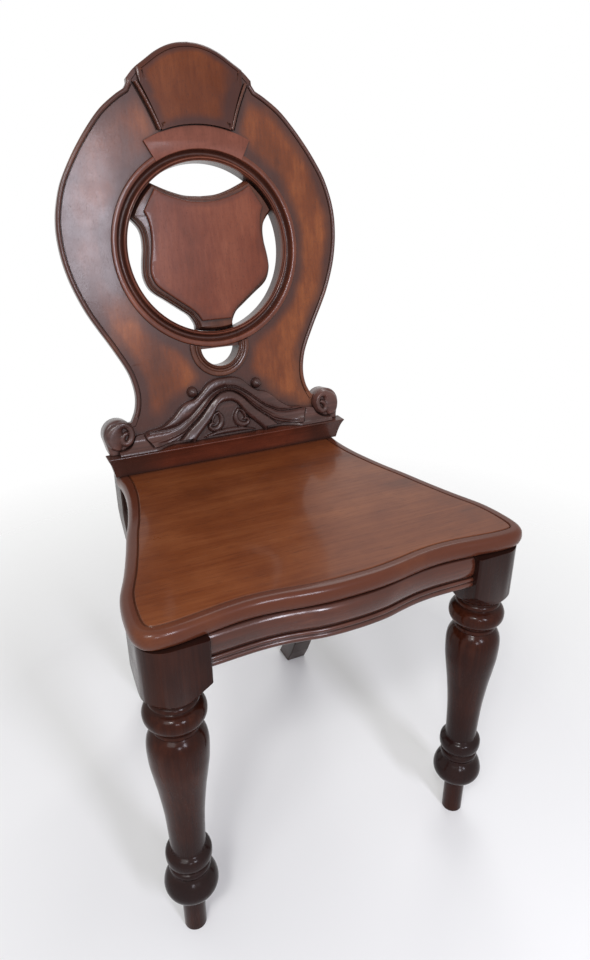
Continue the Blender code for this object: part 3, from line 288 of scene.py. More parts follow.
class Tree:
    """Small helper for node trees."""

    def __init__(self, name):
        self.material = bpy.data.materials.new(name)
        self.material.use_nodes = True
        self.nodes = self.material.node_tree.nodes
        self.links = self.material.node_tree.links
        self.shader = self.nodes["Principled BSDF"]

    def fill(self, **values):
        """Sets or links the shader's sockets, named with _ for a space."""
        for key, value in values.items():
            self.put(self.shader.inputs[key.replace("_", " ")], value)

    def bump(self, relief, strength, distance):
        """Ties a relief to the shader's normal."""
        node = self.add("Bump", Height=relief, Strength=strength, Distance=distance)
        self.fill(Normal=node.outputs["Normal"])

    def add(self, kind, **settings):
        """A node with its settings. Names that are sockets are set or linked."""
        node = self.nodes.new("ShaderNode" + kind)
        for key, value in settings.items():
            if hasattr(node, key) and key not in node.inputs:
                setattr(node, key, value)
            else:
                self.put(node.inputs[key], value)
        return node

    def put(self, socket, value):
        """Links a socket to another or sets its value."""
        if isinstance(value, bpy.types.NodeSocket):
            self.links.new(value, socket)
        else:
            socket.default_value = value

    def math(self, operation, a, b, c=0.0, clamp=False):
        """A math node on numbers or sockets."""
        node = self.nodes.new("ShaderNodeMath")
        node.operation = operation
        node.use_clamp = clamp
        for socket, value in zip(node.inputs, (a, b, c)):
            self.put(socket, value)
        return node.outputs[0]

    def mix(self, share, a, b):
        """A colour mix."""
        node = self.nodes.new("ShaderNodeMix")
        node.data_type = "RGBA"
        self.put(node.inputs["Factor"], share)
        self.put(node.inputs["A"], a)
        self.put(node.inputs["B"], b)
        return node.outputs["Result"]

    def ramp(self, factor, stops):
        """A colour ramp."""
        node = self.nodes.new("ShaderNodeValToRGB")
        self.links.new(factor, node.inputs["Fac"])
        elements = node.color_ramp.elements
        while len(elements) < len(stops):
            elements.new(0.5)
        for element, (place, colour) in zip(elements, stops):
            element.position = place
            element.color = colour if isinstance(colour, tuple) else (colour, colour, colour, 1.0)
        return node.outputs["Color"]

    def span(self, factor, low, high, to_low=0.0, to_high=1.0):
        """A clamped remap."""
        node = self.nodes.new("ShaderNodeMapRange")
        node.clamp = True
        for key, value in (("Value", factor), ("From Min", low), ("From Max", high),
                           ("To Min", to_low), ("To Max", to_high)):
            self.put(node.inputs[key], value)
        return node.outputs["Result"]

    def noise(self, vector, scale, detail, rough, distortion=0.0):
        """A noise value."""
        node = self.nodes.new("ShaderNodeTexNoise")
        self.links.new(vector, node.inputs["Vector"])
        for key, value in (("Scale", scale), ("Detail", detail), ("Roughness", rough),
                           ("Distortion", distortion)):
            node.inputs[key].default_value = value
        return node.outputs["Fac"]


def rgb(r, g, b):
    """A colour with full alpha."""
    return (r, g, b, 1.0)


# Grain turns: the texture's Z runs along the grain
UPRIGHT = (0.0, 0.0, 0.0)
ACROSS = (0.0, math.pi / 2, 0.0)
DEEP = (math.pi / 2, 0.0, 0.0)

DARK_TONE = rgb(0.020, 0.0075, 0.0055)
BLACK_TONE = rgb(0.013, 0.0075, 0.0075)


def wood(name, deep, body, light, *, gloss, coat, grain=UPRIGHT, painted_shade=0.85, reach=0.007,
         worn=0.5, tone=None, heights=None, level=0.22, haze=0.10):
    """Old polished mahogany: streaked body, pores, painted shade in the hollows, rubbed places, uneven
    polish.

    deep, body and light are its colours, as (red, green, blue), from the streaks to the rubbed places.
    gloss is the wood's own roughness, haze that of the polish on top, and coat the polish's weight.
    tone is the colour towards a panel's edges, by the mesh's tone attribute. heights is a list of
    (height in metres, share) of how far the colour has gone to black there. painted_shade is how dark
    hollows within reach get, as painted shade by ambient occlusion, and worn how far edges are rubbed
    through.
    """
    deep = rgb(*deep)
    body = rgb(*body)
    light = rgb(*light)
    t = Tree(name)
    place = t.add("TexCoord").outputs["Object"]
    grainwise = t.add("Mapping", Vector=place, Rotation=grain).outputs["Vector"]

    def stretched(across, along):
        return t.add("Mapping", Vector=grainwise, Scale=(across, across, along)).outputs["Vector"]

    # Scales are per metre, across and along the grain
    bands = t.noise(stretched(26.0, 2.6), 1.0, 4.0, 0.55, 0.35)
    streaks = t.noise(stretched(240.0, 9.0), 1.0, 3.0, 0.6, 0.2)
    clouds = t.noise(place, 13.0, 3.0, 0.55)
    pores = t.noise(stretched(1500.0, 70.0), 1.0, 1.0, 0.5)
    mixed = t.math("MULTIPLY_ADD", bands, 0.50, t.math("MULTIPLY", streaks, 0.30))
    mixed = t.math("ADD", mixed, t.math("MULTIPLY", clouds, 0.50))
    shown = t.span(mixed, 0.42, 0.90)
    colour = t.ramp(shown, [(0.0, deep), (0.45, body), (0.85, light), (1.0, light)])
    pore = t.span(pores, 0.60, 0.72)
    colour = t.mix(t.math("MULTIPLY", pore, 0.40), colour, DARK_TONE)
    if tone:
        share = t.add("Attribute", attribute_type="GEOMETRY", attribute_name="tone").outputs["Fac"]
        mottled = t.math("MULTIPLY_ADD", clouds, 1.5, -0.72)
        share = t.math("ADD", share, mottled, clamp=True)
        share = t.span(share, 0.10, 0.90)
        edge_tone = t.mix(0.85, colour, tone)
        colour = t.mix(share, edge_tone, colour)
    if heights:
        height = t.add("SeparateXYZ", Vector=place).outputs["Z"]
        top = heights[-1][0]
        black = t.ramp(t.span(height, 0.0, top), [(h / top, share) for h, share in heights])
        colour = t.mix(black, colour, BLACK_TONE)
    # Painted shade: hollows, and places where parts meet, go darker by ambient occlusion
    hollow = t.add("AmbientOcclusion", samples=8, Distance=reach)
    shade = t.span(hollow.outputs["AO"], 0.42, 0.95)
    hollow_shade_share = t.math("MULTIPLY", t.math("SUBTRACT", 1.0, shade), painted_shade)
    colour = t.mix(hollow_shade_share, colour, DARK_TONE)
    # Rubbed edges show the lighter wood
    edge = t.add("AmbientOcclusion", samples=6, inside=True, Distance=0.0025)
    bright = t.span(edge.outputs["AO"], 0.62, 0.30)
    speck = t.span(t.noise(place, 160.0, 3.0, 0.65), 0.42, 0.62)
    rubbed = t.math("MULTIPLY", t.math("MULTIPLY", bright, speck), worn)
    colour = t.mix(rubbed, colour, light)
    smear = t.noise(place, 38.0, 4.0, 0.6)
    rough = t.math("MULTIPLY_ADD", smear, 0.20, gloss - 0.10)
    rough = t.math("MULTIPLY_ADD", hollow_shade_share, 0.30, rough)
    rough = t.math("MULTIPLY_ADD", pore, 0.12, rough)
    wave = t.noise(stretched(60.0, 14.0), 1.0, 2.0, 0.5)
    relief = t.math("MULTIPLY_ADD", pores, -0.25, wave)
    relief = t.math("MULTIPLY_ADD", streaks, 0.35, relief)
    t.bump(relief, 0.10, 0.0008)
    t.fill(Base_Color=colour, Roughness=rough, Specular_IOR_Level=level)
    t.fill(Coat_Weight=coat, Coat_Roughness=haze, Coat_IOR=1.4)
    t.material.diffuse_color = body
    return t.material


def raw_wood(name):
    """Unpolished inner wood, gone brown."""
    t = Tree(name)
    place = t.add("TexCoord").outputs["Object"]
    run = t.add("Mapping", Vector=place, Scale=(8.0, 120.0, 120.0))
    grain = t.noise(run.outputs["Vector"], 1.0, 4.0, 0.6, 0.3)
    stain = t.noise(place, 30.0, 3.0, 0.6)
    colour = t.ramp(t.math("MULTIPLY_ADD", stain, 0.4, t.math("MULTIPLY", grain, 0.6)),
                    [(0.25, rgb(0.13, 0.062, 0.030)), (0.75, rgb(0.34, 0.19, 0.10))])
    t.fill(Base_Color=colour, Roughness=t.span(grain, 0.3, 0.7, 0.55, 0.8))
    t.bump(grain, 0.3, 0.0006)
    return t.material


def old_steel(name):
    """Dull screw steel with rust in patches."""
    t = Tree(name)
    place = t.add("TexCoord").outputs["Object"]
    patch = t.span(t.noise(place, 420.0, 4.0, 0.65), 0.45, 0.65)
    colour = t.mix(patch, rgb(0.42, 0.41, 0.39), rgb(0.14, 0.065, 0.035))
    rough = t.span(patch, 0.0, 1.0, 0.35, 0.8)
    t.fill(Base_Color=colour, Roughness=rough, Metallic=t.math("SUBTRACT", 1.0, patch))
    return t.material


EDGE_TONE = rgb(0.045, 0.017, 0.014)
LEG_HEIGHTS = [(0.0, 0.35), (0.052, 0.45), (0.062, 0.80), (0.128, 0.75), (0.160, 0.35), (0.33, 0.05),
               (0.36, 0.42)]

SEAT_FINISH = wood("seat_mahogany", (0.080, 0.020, 0.007), (0.138, 0.036, 0.011), (0.200, 0.062, 0.021),
                   grain=ACROSS, gloss=0.32, coat=0.27, painted_shade=0.8, level=0.12, tone=rgb(0.078, 0.021, 0.011))
PANEL_FINISH = wood("panel_mahogany", (0.080, 0.020, 0.007), (0.148, 0.036, 0.010), (0.250, 0.072, 0.020),
                    gloss=0.27, coat=0.15, tone=EDGE_TONE, level=0.28)
KEY_FINISH = wood("keystone_mahogany", (0.063, 0.013, 0.004), (0.106, 0.024, 0.006), (0.155, 0.040, 0.011),
                  gloss=0.30, coat=0.10, tone=EDGE_TONE, level=0.16)
RING_FINISH = wood("ring_mahogany", (0.062, 0.017, 0.010), (0.118, 0.032, 0.017), (0.178, 0.054, 0.030),
                   gloss=0.24, coat=0.30, reach=0.008, painted_shade=0.9, worn=0.2)
MOULD_FINISH = wood("moulding_mahogany", (0.035, 0.011, 0.006), (0.070, 0.021, 0.011), (0.130, 0.044, 0.024),
                    gloss=0.22, coat=0.35, reach=0.005, painted_shade=0.95)
LEG_FINISH = wood("leg_mahogany", (0.012, 0.0028, 0.0016), (0.026, 0.0055, 0.0025), (0.058, 0.014, 0.006),
                  gloss=0.20, coat=0.22, reach=0.007, painted_shade=1.0, heights=LEG_HEIGHTS, level=0.05, worn=0.7,
                  haze=0.12)
RAIL_FINISH = wood("rail_mahogany", (0.033, 0.008, 0.004), (0.066, 0.016, 0.008), (0.118, 0.034, 0.016),
                   grain=ACROSS, gloss=0.22, coat=0.90, reach=0.004, painted_shade=0.9, level=0.12, haze=0.15)
CARVED_FINISH = wood("carved_mahogany", (0.026, 0.011, 0.009), (0.050, 0.020, 0.016), (0.105, 0.044, 0.034),
                     grain=ACROSS, gloss=0.30, coat=0.42, reach=0.005, painted_shade=1.0, worn=0.35, haze=0.24)
# The plinth's darker tone towards its ends, against its redder middle, is a painted reflection of the seat
PLINTH_FINISH = wood("plinth_mahogany", (0.060, 0.015, 0.008), (0.110, 0.026, 0.013), (0.170, 0.046, 0.024),
                     grain=ACROSS, gloss=0.28, coat=0.20, tone=rgb(0.040, 0.017, 0.013), worn=0.15)
DARK_FINISH = wood("rear_mahogany", (0.012, 0.006, 0.005), (0.024, 0.010, 0.007), (0.045, 0.019, 0.012),
                   gloss=0.34, coat=0.10)
SIDE_FINISH = wood("side_rail_mahogany", (0.020, 0.008, 0.005), (0.040, 0.015, 0.009), (0.075, 0.030, 0.017),
                   grain=DEEP, gloss=0.36, coat=0.10)
SHIELD_FINISH = wood("shield_mahogany", (0.090, 0.022, 0.011), (0.145, 0.036, 0.018), (0.205, 0.060, 0.031),
                     gloss=0.30, coat=0.12, level=0.18, tone=rgb(0.085, 0.026, 0.017))
ARC_FINISH = wood("arc_mahogany", (0.095, 0.028, 0.016), (0.150, 0.044, 0.026), (0.205, 0.064, 0.040),
                  gloss=0.42, coat=0.06)
INNER_FINISH = raw_wood("inner_wood")
STEEL_FINISH = old_steel("screw_steel_worn")

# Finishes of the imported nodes, by how their names start. The first that fits is taken.
NODE_FINISHES = ((("glue_block", "back_dowel"), INNER_FINISH), ("seat_screw", STEEL_FINISH),
                 (("side_rail", "back_rail"), SIDE_FINISH), ("rear_leg", DARK_FINISH),
                 (("carved", "volute", "scroll"), CARVED_FINISH), ("", MOULD_FINISH))
for node_name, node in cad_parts.items():
    node_finish = next(finish for starts, finish in NODE_FINISHES if node_name.startswith(starts))
    for spot in node.material_slots:
        spot.material = node_finish


# Seat

SEAT_THICK = 0.021
SEAT_HALF_WIDTH = 0.2185
SEAT_DEPTH = REAR_Y + 0.0305
SEAT_ROLL_WIDTH = 0.014
SEAT_REAR = REAR_Y + 0.0235
SEAT_NOTCH_Y = REAR_Y - GAP
SEAT_BELOW = SEAT_TOP - 0.05
SEAT_ABOVE = SEAT_TOP + 0.05
REAR_TOP_INNER_X = 0.1195
UNDER_SEAT = SEAT_TOP - SEAT_THICK - GAP
SEAT_FRONT_SHARES = ((0.0, -0.100), (0.12, -0.098), (0.25, -0.088), (0.37, -0.075), (0.48, -0.069),
                     (0.59, -0.072), (0.71, -0.082), (0.82, -0.090), (0.91, -0.089), (0.965, -0.074),
                     (0.992, -0.045), (1.0, -0.010), (0.998, 0.040), (0.990, 0.090), (0.972, 0.145),
                     (0.922, 0.238), (0.872, 0.347), (0.826, 0.459), (0.790, 0.535), (0.757, 0.618),
                     (0.729, 0.706), (0.713, 0.788), (0.709, 0.859), (0.716, 0.925))
SEAT_EDGE_SHARES = ((-0.62, -1.0), (-0.20, -0.88), (-0.02, -0.62), (0.0, -0.40), (-0.07, -0.18),
                    (-0.30, -0.03), (-0.60, 0.0))
SEAT_GROOVE_SHARES = ((-0.86, 0.0), (-0.895, -0.018), (-0.925, -0.060), (-0.96, -0.075), (-0.995, -0.060),
                      (-1.025, -0.018), (-1.06, 0.0))


def make_seat():
    """The seat board with its rolled edge and fine groove."""
    half = through(sized(SEAT_FRONT_SHARES, SEAT_HALF_WIDTH, SEAT_DEPTH), 120)
    half.append((half[-1][0], SEAT_REAR + 0.030))
    edge = through(sized(SEAT_EDGE_SHARES, SEAT_ROLL_WIDTH, SEAT_THICK), 20)
    section = [(x, SEAT_TOP + z) for x, z in edge + sized(SEAT_GROOVE_SHARES, SEAT_ROLL_WIDTH, SEAT_THICK)]
    seat = moulded("seat", mirrored(half), section)
    cutters = [box("cut_rear", (-FAR_X, SEAT_REAR, SEAT_BELOW), (FAR_X, SEAT_REAR + 0.1, SEAT_ABOVE))]
    for side in (-1, 1):
        xs = sorted((side * (REAR_TOP_INNER_X - GAP), side * FAR_X))
        cutters.append(box("cut_notch", (xs[0], SEAT_NOTCH_Y, SEAT_BELOW),
                           (xs[1], SEAT_REAR + 0.1, SEAT_ABOVE)))
    cut(seat, *cutters)
    rim = both_sides(half)

    def rule(places):
        return smooth_step(nearest(places[:, :2], rim), 0.0118, 0.0138)

    lay_tone(seat, rule)
    settle(seat, ROOT, SEAT_FINISH, ["seat_board"])


# Legs and front rail

BLOCK_HALF = 0.0318
BLOCK_CORNER_RADIUS = 0.027
BLOCK_SMALL_RADIUS = 0.0028
LEG_RADIUS = 0.0316
LEG_TURN_HEIGHT = SEAT_TOP - 0.095
LEG_SHARES = ((1.58, 1.085), (1.44, 1.078), (1.234, 1.059), (1.076, 1.040), (1.006, 1.029), (0.949, 1.022),
              (0.886, 1.016), (0.790, 1.011), (0.744, 1.006), (0.744, 1.000), (0.797, 0.996), (0.797, 0.986),
              (0.734, 0.982), (0.734, 0.978), (0.816, 0.975), (0.934, 0.966), (0.997, 0.953), (1.006, 0.943),
              (0.991, 0.931), (0.918, 0.918), (0.807, 0.910), (0.712, 0.907), (0.703, 0.898), (0.755, 0.895),
              (0.755, 0.886), (0.734, 0.881), (0.829, 0.872), (0.924, 0.857), (0.975, 0.840), (0.994, 0.819),
              (0.990, 0.793), (0.965, 0.755), (0.895, 0.707), (0.790, 0.640), (0.680, 0.545), (0.630, 0.460),
              (0.612, 0.393), (0.625, 0.381), (0.712, 0.375), (0.785, 0.365), (0.804, 0.350), (0.791, 0.335),
              (0.734, 0.3235), (0.671, 0.319), (0.665, 0.312), (0.709, 0.309), (0.728, 0.300), (0.715, 0.291),
              (0.677, 0.286), (0.677, 0.277), (0.744, 0.269), (0.848, 0.256), (0.924, 0.238), (0.953, 0.2206),
              (0.930, 0.204), (0.839, 0.188), (0.680, 0.178), (0.506, 0.174), (0.418, 0.172), (0.405, 0.088),
              (0.399, 0.006), (0.383, 0.0))


def rounded_square(side):
    """Outline of a leg block: large radius at the outer front corner, small ones elsewhere."""
    points = []
    for (cx, cy), start in zip(((1, -1), (1, 1), (-1, 1), (-1, -1)), (-90.0, 0.0, 90.0, 180.0)):
        outer_front = cy < 0 and cx == side
        radius = BLOCK_CORNER_RADIUS if outer_front else BLOCK_SMALL_RADIUS
        count = 24 if outer_front else 6
        for i in range(count):
            angle = math.radians(start + 90.0 * i / (count - 1))
            points.append((cx * (BLOCK_HALF - radius) + radius * math.cos(angle),
                           cy * (BLOCK_HALF - radius) + radius * math.sin(angle)))
    return points


def make_leg(side, word):
    """A turned leg with its square block."""
    profile = [(0.0, UNDER_SEAT), (0.050, UNDER_SEAT)]
    profile += through(sized(LEG_SHARES, LEG_RADIUS, LEG_TURN_HEIGHT), 230)
    profile.append((0.0, 0.0))
    leg = turned("leg_" + word, profile, 96)
    cut(leg, slab("cut_billet", rounded_square(side), -0.03, SEAT_TOP), operation="INTERSECT")
    leg.data.transform(Matrix.Translation((side * LEG_X, 0.0, 0.0)))
    settle(leg, ROOT, LEG_FINISH, ["front_leg_" + word])


RAIL_FRONT = 0.0235
RAIL_BOW = 0.0112
RAIL_RELIEF = 0.0075
RAIL_HEIGHT = 0.0377
RAIL_BACK = 0.055
RAIL_BOW_SHARES = ((0.0, 1.0), (0.10, 0.965), (0.22, 0.80), (0.34, 0.43), (0.46, 0.12), (0.58, 0.0),
                   (0.70, 0.015), (0.82, 0.08), (0.90, 0.10), (1.0, 0.10))
RAIL_FACE_SHARES = ((0.85, 1.0), (0.66, 0.985), (0.45, 0.955), (0.26, 0.91), (0.12, 0.85), (0.03, 0.77),
                    (0.0, 0.68), (0.02, 0.59), (0.08, 0.50), (0.19, 0.42), (0.34, 0.365), (0.50, 0.340),
                    (0.50, 0.330), (0.15, 0.320), (0.01, 0.28), (0.02, 0.235), (0.16, 0.200), (0.25, 0.185),
                    (0.16, 0.170), (0.03, 0.140), (0.0, 0.10), (0.06, 0.05), (0.35, 0.012), (0.80, 0.0))


def make_rail():
    """The serpentine front rail."""
    reach = LEG_X - 0.0125
    bottom = UNDER_SEAT - RAIL_HEIGHT
    half = through(sized(RAIL_BOW_SHARES, reach, RAIL_BOW), 50)
    right = [(x, -RAIL_FRONT - bow) for x, bow in half]
    path = [(-x, y) for x, y in reversed(right[1:])] + right
    face = through(sized(RAIL_FACE_SHARES, RAIL_RELIEF, RAIL_HEIGHT), 90)
    section = [(-set_back, bottom + z) for set_back, z in face]
    section += [(-RAIL_BACK, bottom), (-RAIL_BACK, UNDER_SEAT)]
    rail = swept("rail", path, section)
    end = LEG_X - BLOCK_HALF - GAP
    limit = box("cut_limit", (-end, -RAIL_BACK, bottom - 0.02), (end, 0.002, SEAT_TOP))
    cut(rail, limit, operation="INTERSECT")
    settle(rail, ROOT, RAIL_FINISH, ["front_rail"])


# Back board

TONE_CELL = 0.006
BOARD_THICK = 0.023
BOARD_HALF_WIDTH = 0.180
BOARD_HEIGHT = 0.4656
LOBE_X = 0.8056 * BOARD_HALF_WIDTH
LOBE_S = 0.02285
LOBE_RADIUS = 0.0180
VOLUTE_RADIUS = 0.0195
LOBE_START = math.radians(-73.0)
LOBE_TURN = math.radians(209.0)
EDGE_WIDTH = 0.0062
EDGE_RISE = 0.0018
EDGE_SIDE = 0.009
EDGE_BEVEL = 0.012
BEAD = 0.0042
GROOVE_OFF = 0.0034
GROOVE_WIDTH = 0.0026
GROOVE_DEPTH = 0.0030
RING_S = BOARD_HEIGHT - 0.22805
RING_OUTER = 0.1206
RING_INNER = 0.1015
RING_SEAT = 0.0082
MOON_S = RING_S - 0.1195
MOON_OUTER = 0.0400
MOON_INNER = 0.0262
KEY_TOP_S = BOARD_HEIGHT - 0.04505
KEY_TOP_X = 0.0695
KEY_LOW_X = 0.0470
KEY_ARC_RADIUS = 0.1400
KEY_BOW = 0.0012
BOARD_SHARES = ((0.702, 0.0774), (0.668, 0.1034), (0.652, 0.1278), (0.648, 0.1511), (0.655, 0.1766),
                (0.672, 0.2042), (0.7, 0.2307), (0.737, 0.2593), (0.78, 0.2912), (0.832, 0.3272),
                (0.885, 0.3665), (0.93, 0.4089), (0.968, 0.4556), (0.992, 0.5044), (1.0, 0.5511),
                (0.994, 0.5914), (0.972, 0.6328), (0.93, 0.6795), (0.87, 0.7219), (0.8, 0.7633),
                (0.712, 0.8079), (0.62, 0.8471), (0.52, 0.8768), (0.447, 0.8938))
CREST_SHARES = ((0.425, 0.9071), (0.424, 0.9171), (0.372, 0.9373), (0.3, 0.9564), (0.225, 0.9755),
                (0.15, 0.9893), (0.075, 0.9972), (0.0, 0.9999))
CREST_LINE = through(sized(CREST_SHARES[1:], BOARD_HALF_WIDTH, BOARD_HEIGHT), 44)

# Upper contour of the carving, from the volute to the middle
CONTOUR = ((0.1215, 0.0188), (0.1174, 0.0207), (0.1118, 0.0193), (0.1008, 0.0226), (0.0875, 0.0270),
           (0.0741, 0.0356), (0.0632, 0.0451), (0.0522, 0.0519), (0.0419, 0.0556), (0.0328, 0.0629),
           (0.0231, 0.0718), (0.0122, 0.0760), (0.0000, 0.0766))


def board_outline(waist_points, crest_points, lobe_points):
    """Whole outline of the back board: foot, lobes behind the volutes, balloon and crest."""
    half = [(LOBE_X + LOBE_RADIUS * math.cos(LOBE_START), -0.010)]
    for i in range(lobe_points):
        angle = LOBE_START + LOBE_TURN * i / (lobe_points - 1)
        half.append((LOBE_X + LOBE_RADIUS * math.cos(angle), LOBE_S + LOBE_RADIUS * math.sin(angle)))
    half += through(sized(BOARD_SHARES, BOARD_HALF_WIDTH, BOARD_HEIGHT), waist_points)
    crest = sized(CREST_SHARES, BOARD_HALF_WIDTH, BOARD_HEIGHT)
    half += [crest[0]] + through(crest[1:], crest_points)
    return mirrored(half)


def board_section():
    """Edge of the back board from its back face to its front face, with the bead on its front."""
    w = EDGE_WIDTH
    r = EDGE_RISE
    section = [(-EDGE_BEVEL, -BOARD_THICK), (-EDGE_BEVEL * 0.94, -BOARD_THICK + 0.0004),
               (-0.0006, -EDGE_SIDE - 0.0006), (0.0, -EDGE_SIDE), (0.0, -0.9 * r)]
    for i in range(11):
        angle = math.pi * i / 10
        section.append((-0.43 * w + 0.43 * w * math.cos(angle), -0.2 * r + 1.25 * r * math.sin(angle)))
    section += [(-0.875 * w, -0.55 * r), (-0.93 * w, -0.55 * r), (-0.975 * w, -0.36 * r), (-w, 0.0)]
    return section


def nearest(points, line):
    """Distance from each point to a closed or open polyline, both as (n, 2) arrays."""
    a = line[:-1]
    d = line[1:] - a
    length = np.maximum((d * d).sum(1), 1e-18)
    best = np.full(len(points), 1e9)
    for i in range(len(a)):
        t = np.clip(((points - a[i]) @ d[i]) / length[i], 0.0, 1.0)
        gap = points - (a[i] + t[:, None] * d[i])
        best = np.minimum(best, (gap * gap).sum(1))
    return np.sqrt(best)


def gridded(piece, step, low, high, top):
    """Cuts the faces at one height into cells, so that a tone or a relief can be laid on them."""
    work = bmesh.new()
    work.from_mesh(piece.data)
    level = 0.99
    off = 0.0002
    flat = [f for f in work.faces if abs(f.normal.z) > level and abs(f.calc_center_median().z - top) < off]
    bmesh.ops.triangulate(work, faces=flat)
    for axis, normal in ((0, Vector((1.0, 0.0, 0.0))), (1, Vector((0.0, 1.0, 0.0)))):
        a = low[axis]
        b = high[axis]
        count = int((b - a) / step)
        for i in range(1, count):
            point = normal * (a + (b - a) * i / count)
            faces = [f for f in work.faces if f.normal.z > level and abs(f.verts[0].co.z - top) < off
                     and min(v.co[axis] for v in f.verts) < point[axis] < max(v.co[axis] for v in f.verts)]
            edges = list({e for f in faces for e in f.edges})
            geometry = faces + edges + list({v for f in faces for v in f.verts})
            bmesh.ops.bisect_plane(work, geom=geometry, plane_co=point, plane_no=normal, dist=CLOSE)
    work.to_mesh(piece.data)
    work.free()


def lay_tone(piece, rule):
    """Writes the tone attribute from a rule on the vertices' places."""
    mesh = piece.data
    places = np.empty(len(mesh.vertices) * 3)
    mesh.vertices.foreach_get("co", places)
    values = rule(places.reshape(-1, 3))
    mesh.attributes.new("tone", "FLOAT", "POINT").data.foreach_set("value", values.astype(np.float32))


def smooth_step(value, low, high):
    """0 below low, 1 above high, smooth between."""
    t = np.clip((value - low) / (high - low), 0.0, 1.0)
    return t * t * (3 - 2 * t)


def below_plinth_top():
    """A cutter, in the back's own places, for all that lies under the plinth's top."""
    foot = box("cut_foot", (-CUT_HALF, -0.1, -0.1), (CUT_HALF, 0.0, 0.1))
    foot.data.transform(Matrix.Rotation(BACK_TILT, 4, "X"))
    foot.data.transform(Matrix.Translation((0.0, GAP, 0.0)))
    return foot


def make_board():
    """The balloon board with its beaded rim, round hole and half moon."""
    outline = board_outline(150, 44, 30)
    board = moulded("board", outline, board_section())
    deep = 2 * BOARD_THICK
    level = RING_S - RING_OUTER - 0.0016
    start = math.asin((level - MOON_S) / MOON_INNER)
    half = GROOVE_WIDTH / 2
    section = [(-half, -GROOVE_DEPTH), (half, -GROOVE_DEPTH), (half, 0.02), (-half, 0.02)]
    grooves = []
    for side in (-1, 1):
        line = [(side * (x + GROOVE_OFF), s) for x, s in bead_path()]
        grooves.append(swept("cut_groove", line, section))
    cut(board,
        rod("cut_volute_left", VOLUTE_RADIUS + GAP, 2 * deep, 96, (-LOBE_X, LOBE_S, -deep)),
        rod("cut_volute_right", VOLUTE_RADIUS + GAP, 2 * deep, 96, (LOBE_X, LOBE_S, -deep)),
        slab("cut_key", keystone_outline(BEAD + EDGE_WIDTH), SKIN, deep),
        box("cut_carving", (-CUT_HALF, -0.1, SKIN), (CUT_HALF, LOBE_S + LOBE_RADIUS + 0.0006, deep)),
        below_plinth_top(),
        rod("cut_hole", RING_INNER, 2 * deep, 192, (0.0, RING_S, -deep)),
        rod("cut_rebate", RING_OUTER + GAP, deep, 192, (0.0, RING_S, -RING_SEAT - GAP)),
        slab("cut_moon", arc(MOON_S, MOON_INNER, start, -math.pi - start, 60), -deep, deep),
        *grooves)
    gridded(board, TONE_CELL, (-0.18, 0.0), (0.18, 0.466), 0.0)
    rim = np.array(outline + outline[:1])
    key = np.array(keystone_outline(BEAD))
    carving = both_sides(through(CONTOUR, 90))

    def rule(places):
        flat = places[:, :2]
        to_rim = nearest(flat, rim)
        to_ring = np.hypot(flat[:, 0], flat[:, 1] - RING_S) - RING_OUTER
        to_moon = np.hypot(flat[:, 0], flat[:, 1] - MOON_S) - MOON_OUTER
        to_key = nearest(flat, key)
        to_carving = nearest(flat, carving)
        tone = smooth_step(to_rim, 0.005, 0.030) * smooth_step(to_ring, 0.001, 0.024)
        tone = tone * smooth_step(to_moon, 0.002, 0.020) * smooth_step(to_key, 0.001, 0.022)
        tone = tone * smooth_step(to_carving, 0.003, 0.034)
        # The left wing's polish has stayed darker
        wing = smooth_step(-flat[:, 0], 0.030, 0.100) * smooth_step(flat[:, 1], 0.120, 0.190)
        return np.minimum(1.25 * tone, 1.0) * (1.0 - 0.65 * wing)

    lay_tone(board, rule)
    settle(board, BACK, PANEL_FINISH, ["back_board"])


def bowed(low, high, steps):
    """Places along the keystone's side, which bows out a little between its ends."""
    across = Vector((-(high - low).y, (high - low).x)).normalized()
    places = []
    for i in range(steps + 1):
        share = i / steps
        middle = low.lerp(high, share) + across * KEY_BOW * 4 * share * (1 - share)
        places.append((middle.x, middle.y))
    return places


def keystone_outline(grow):
    """Keystone between its beads, grown sideways by the given width."""
    low_angle = math.acos((KEY_LOW_X - BEAD) / KEY_ARC_RADIUS)
    half = arc(RING_S, KEY_ARC_RADIUS + 2 * GAP - grow, math.pi / 2, low_angle, 24)
    half[-1] = (half[-1][0] + grow, half[-1][1])
    side_top = Vector((KEY_TOP_X - BEAD + grow, KEY_TOP_S + EDGE_WIDTH))
    half += bowed(Vector(half[-1]), side_top, 12)[1:-1]
    half.append((side_top.x, value_at([(-x, s) for x, s in CREST_LINE], -side_top.x)))
    half += [(x, s) for x, s in CREST_LINE if x < side_top.x - 0.0005]
    return mirrored(half)


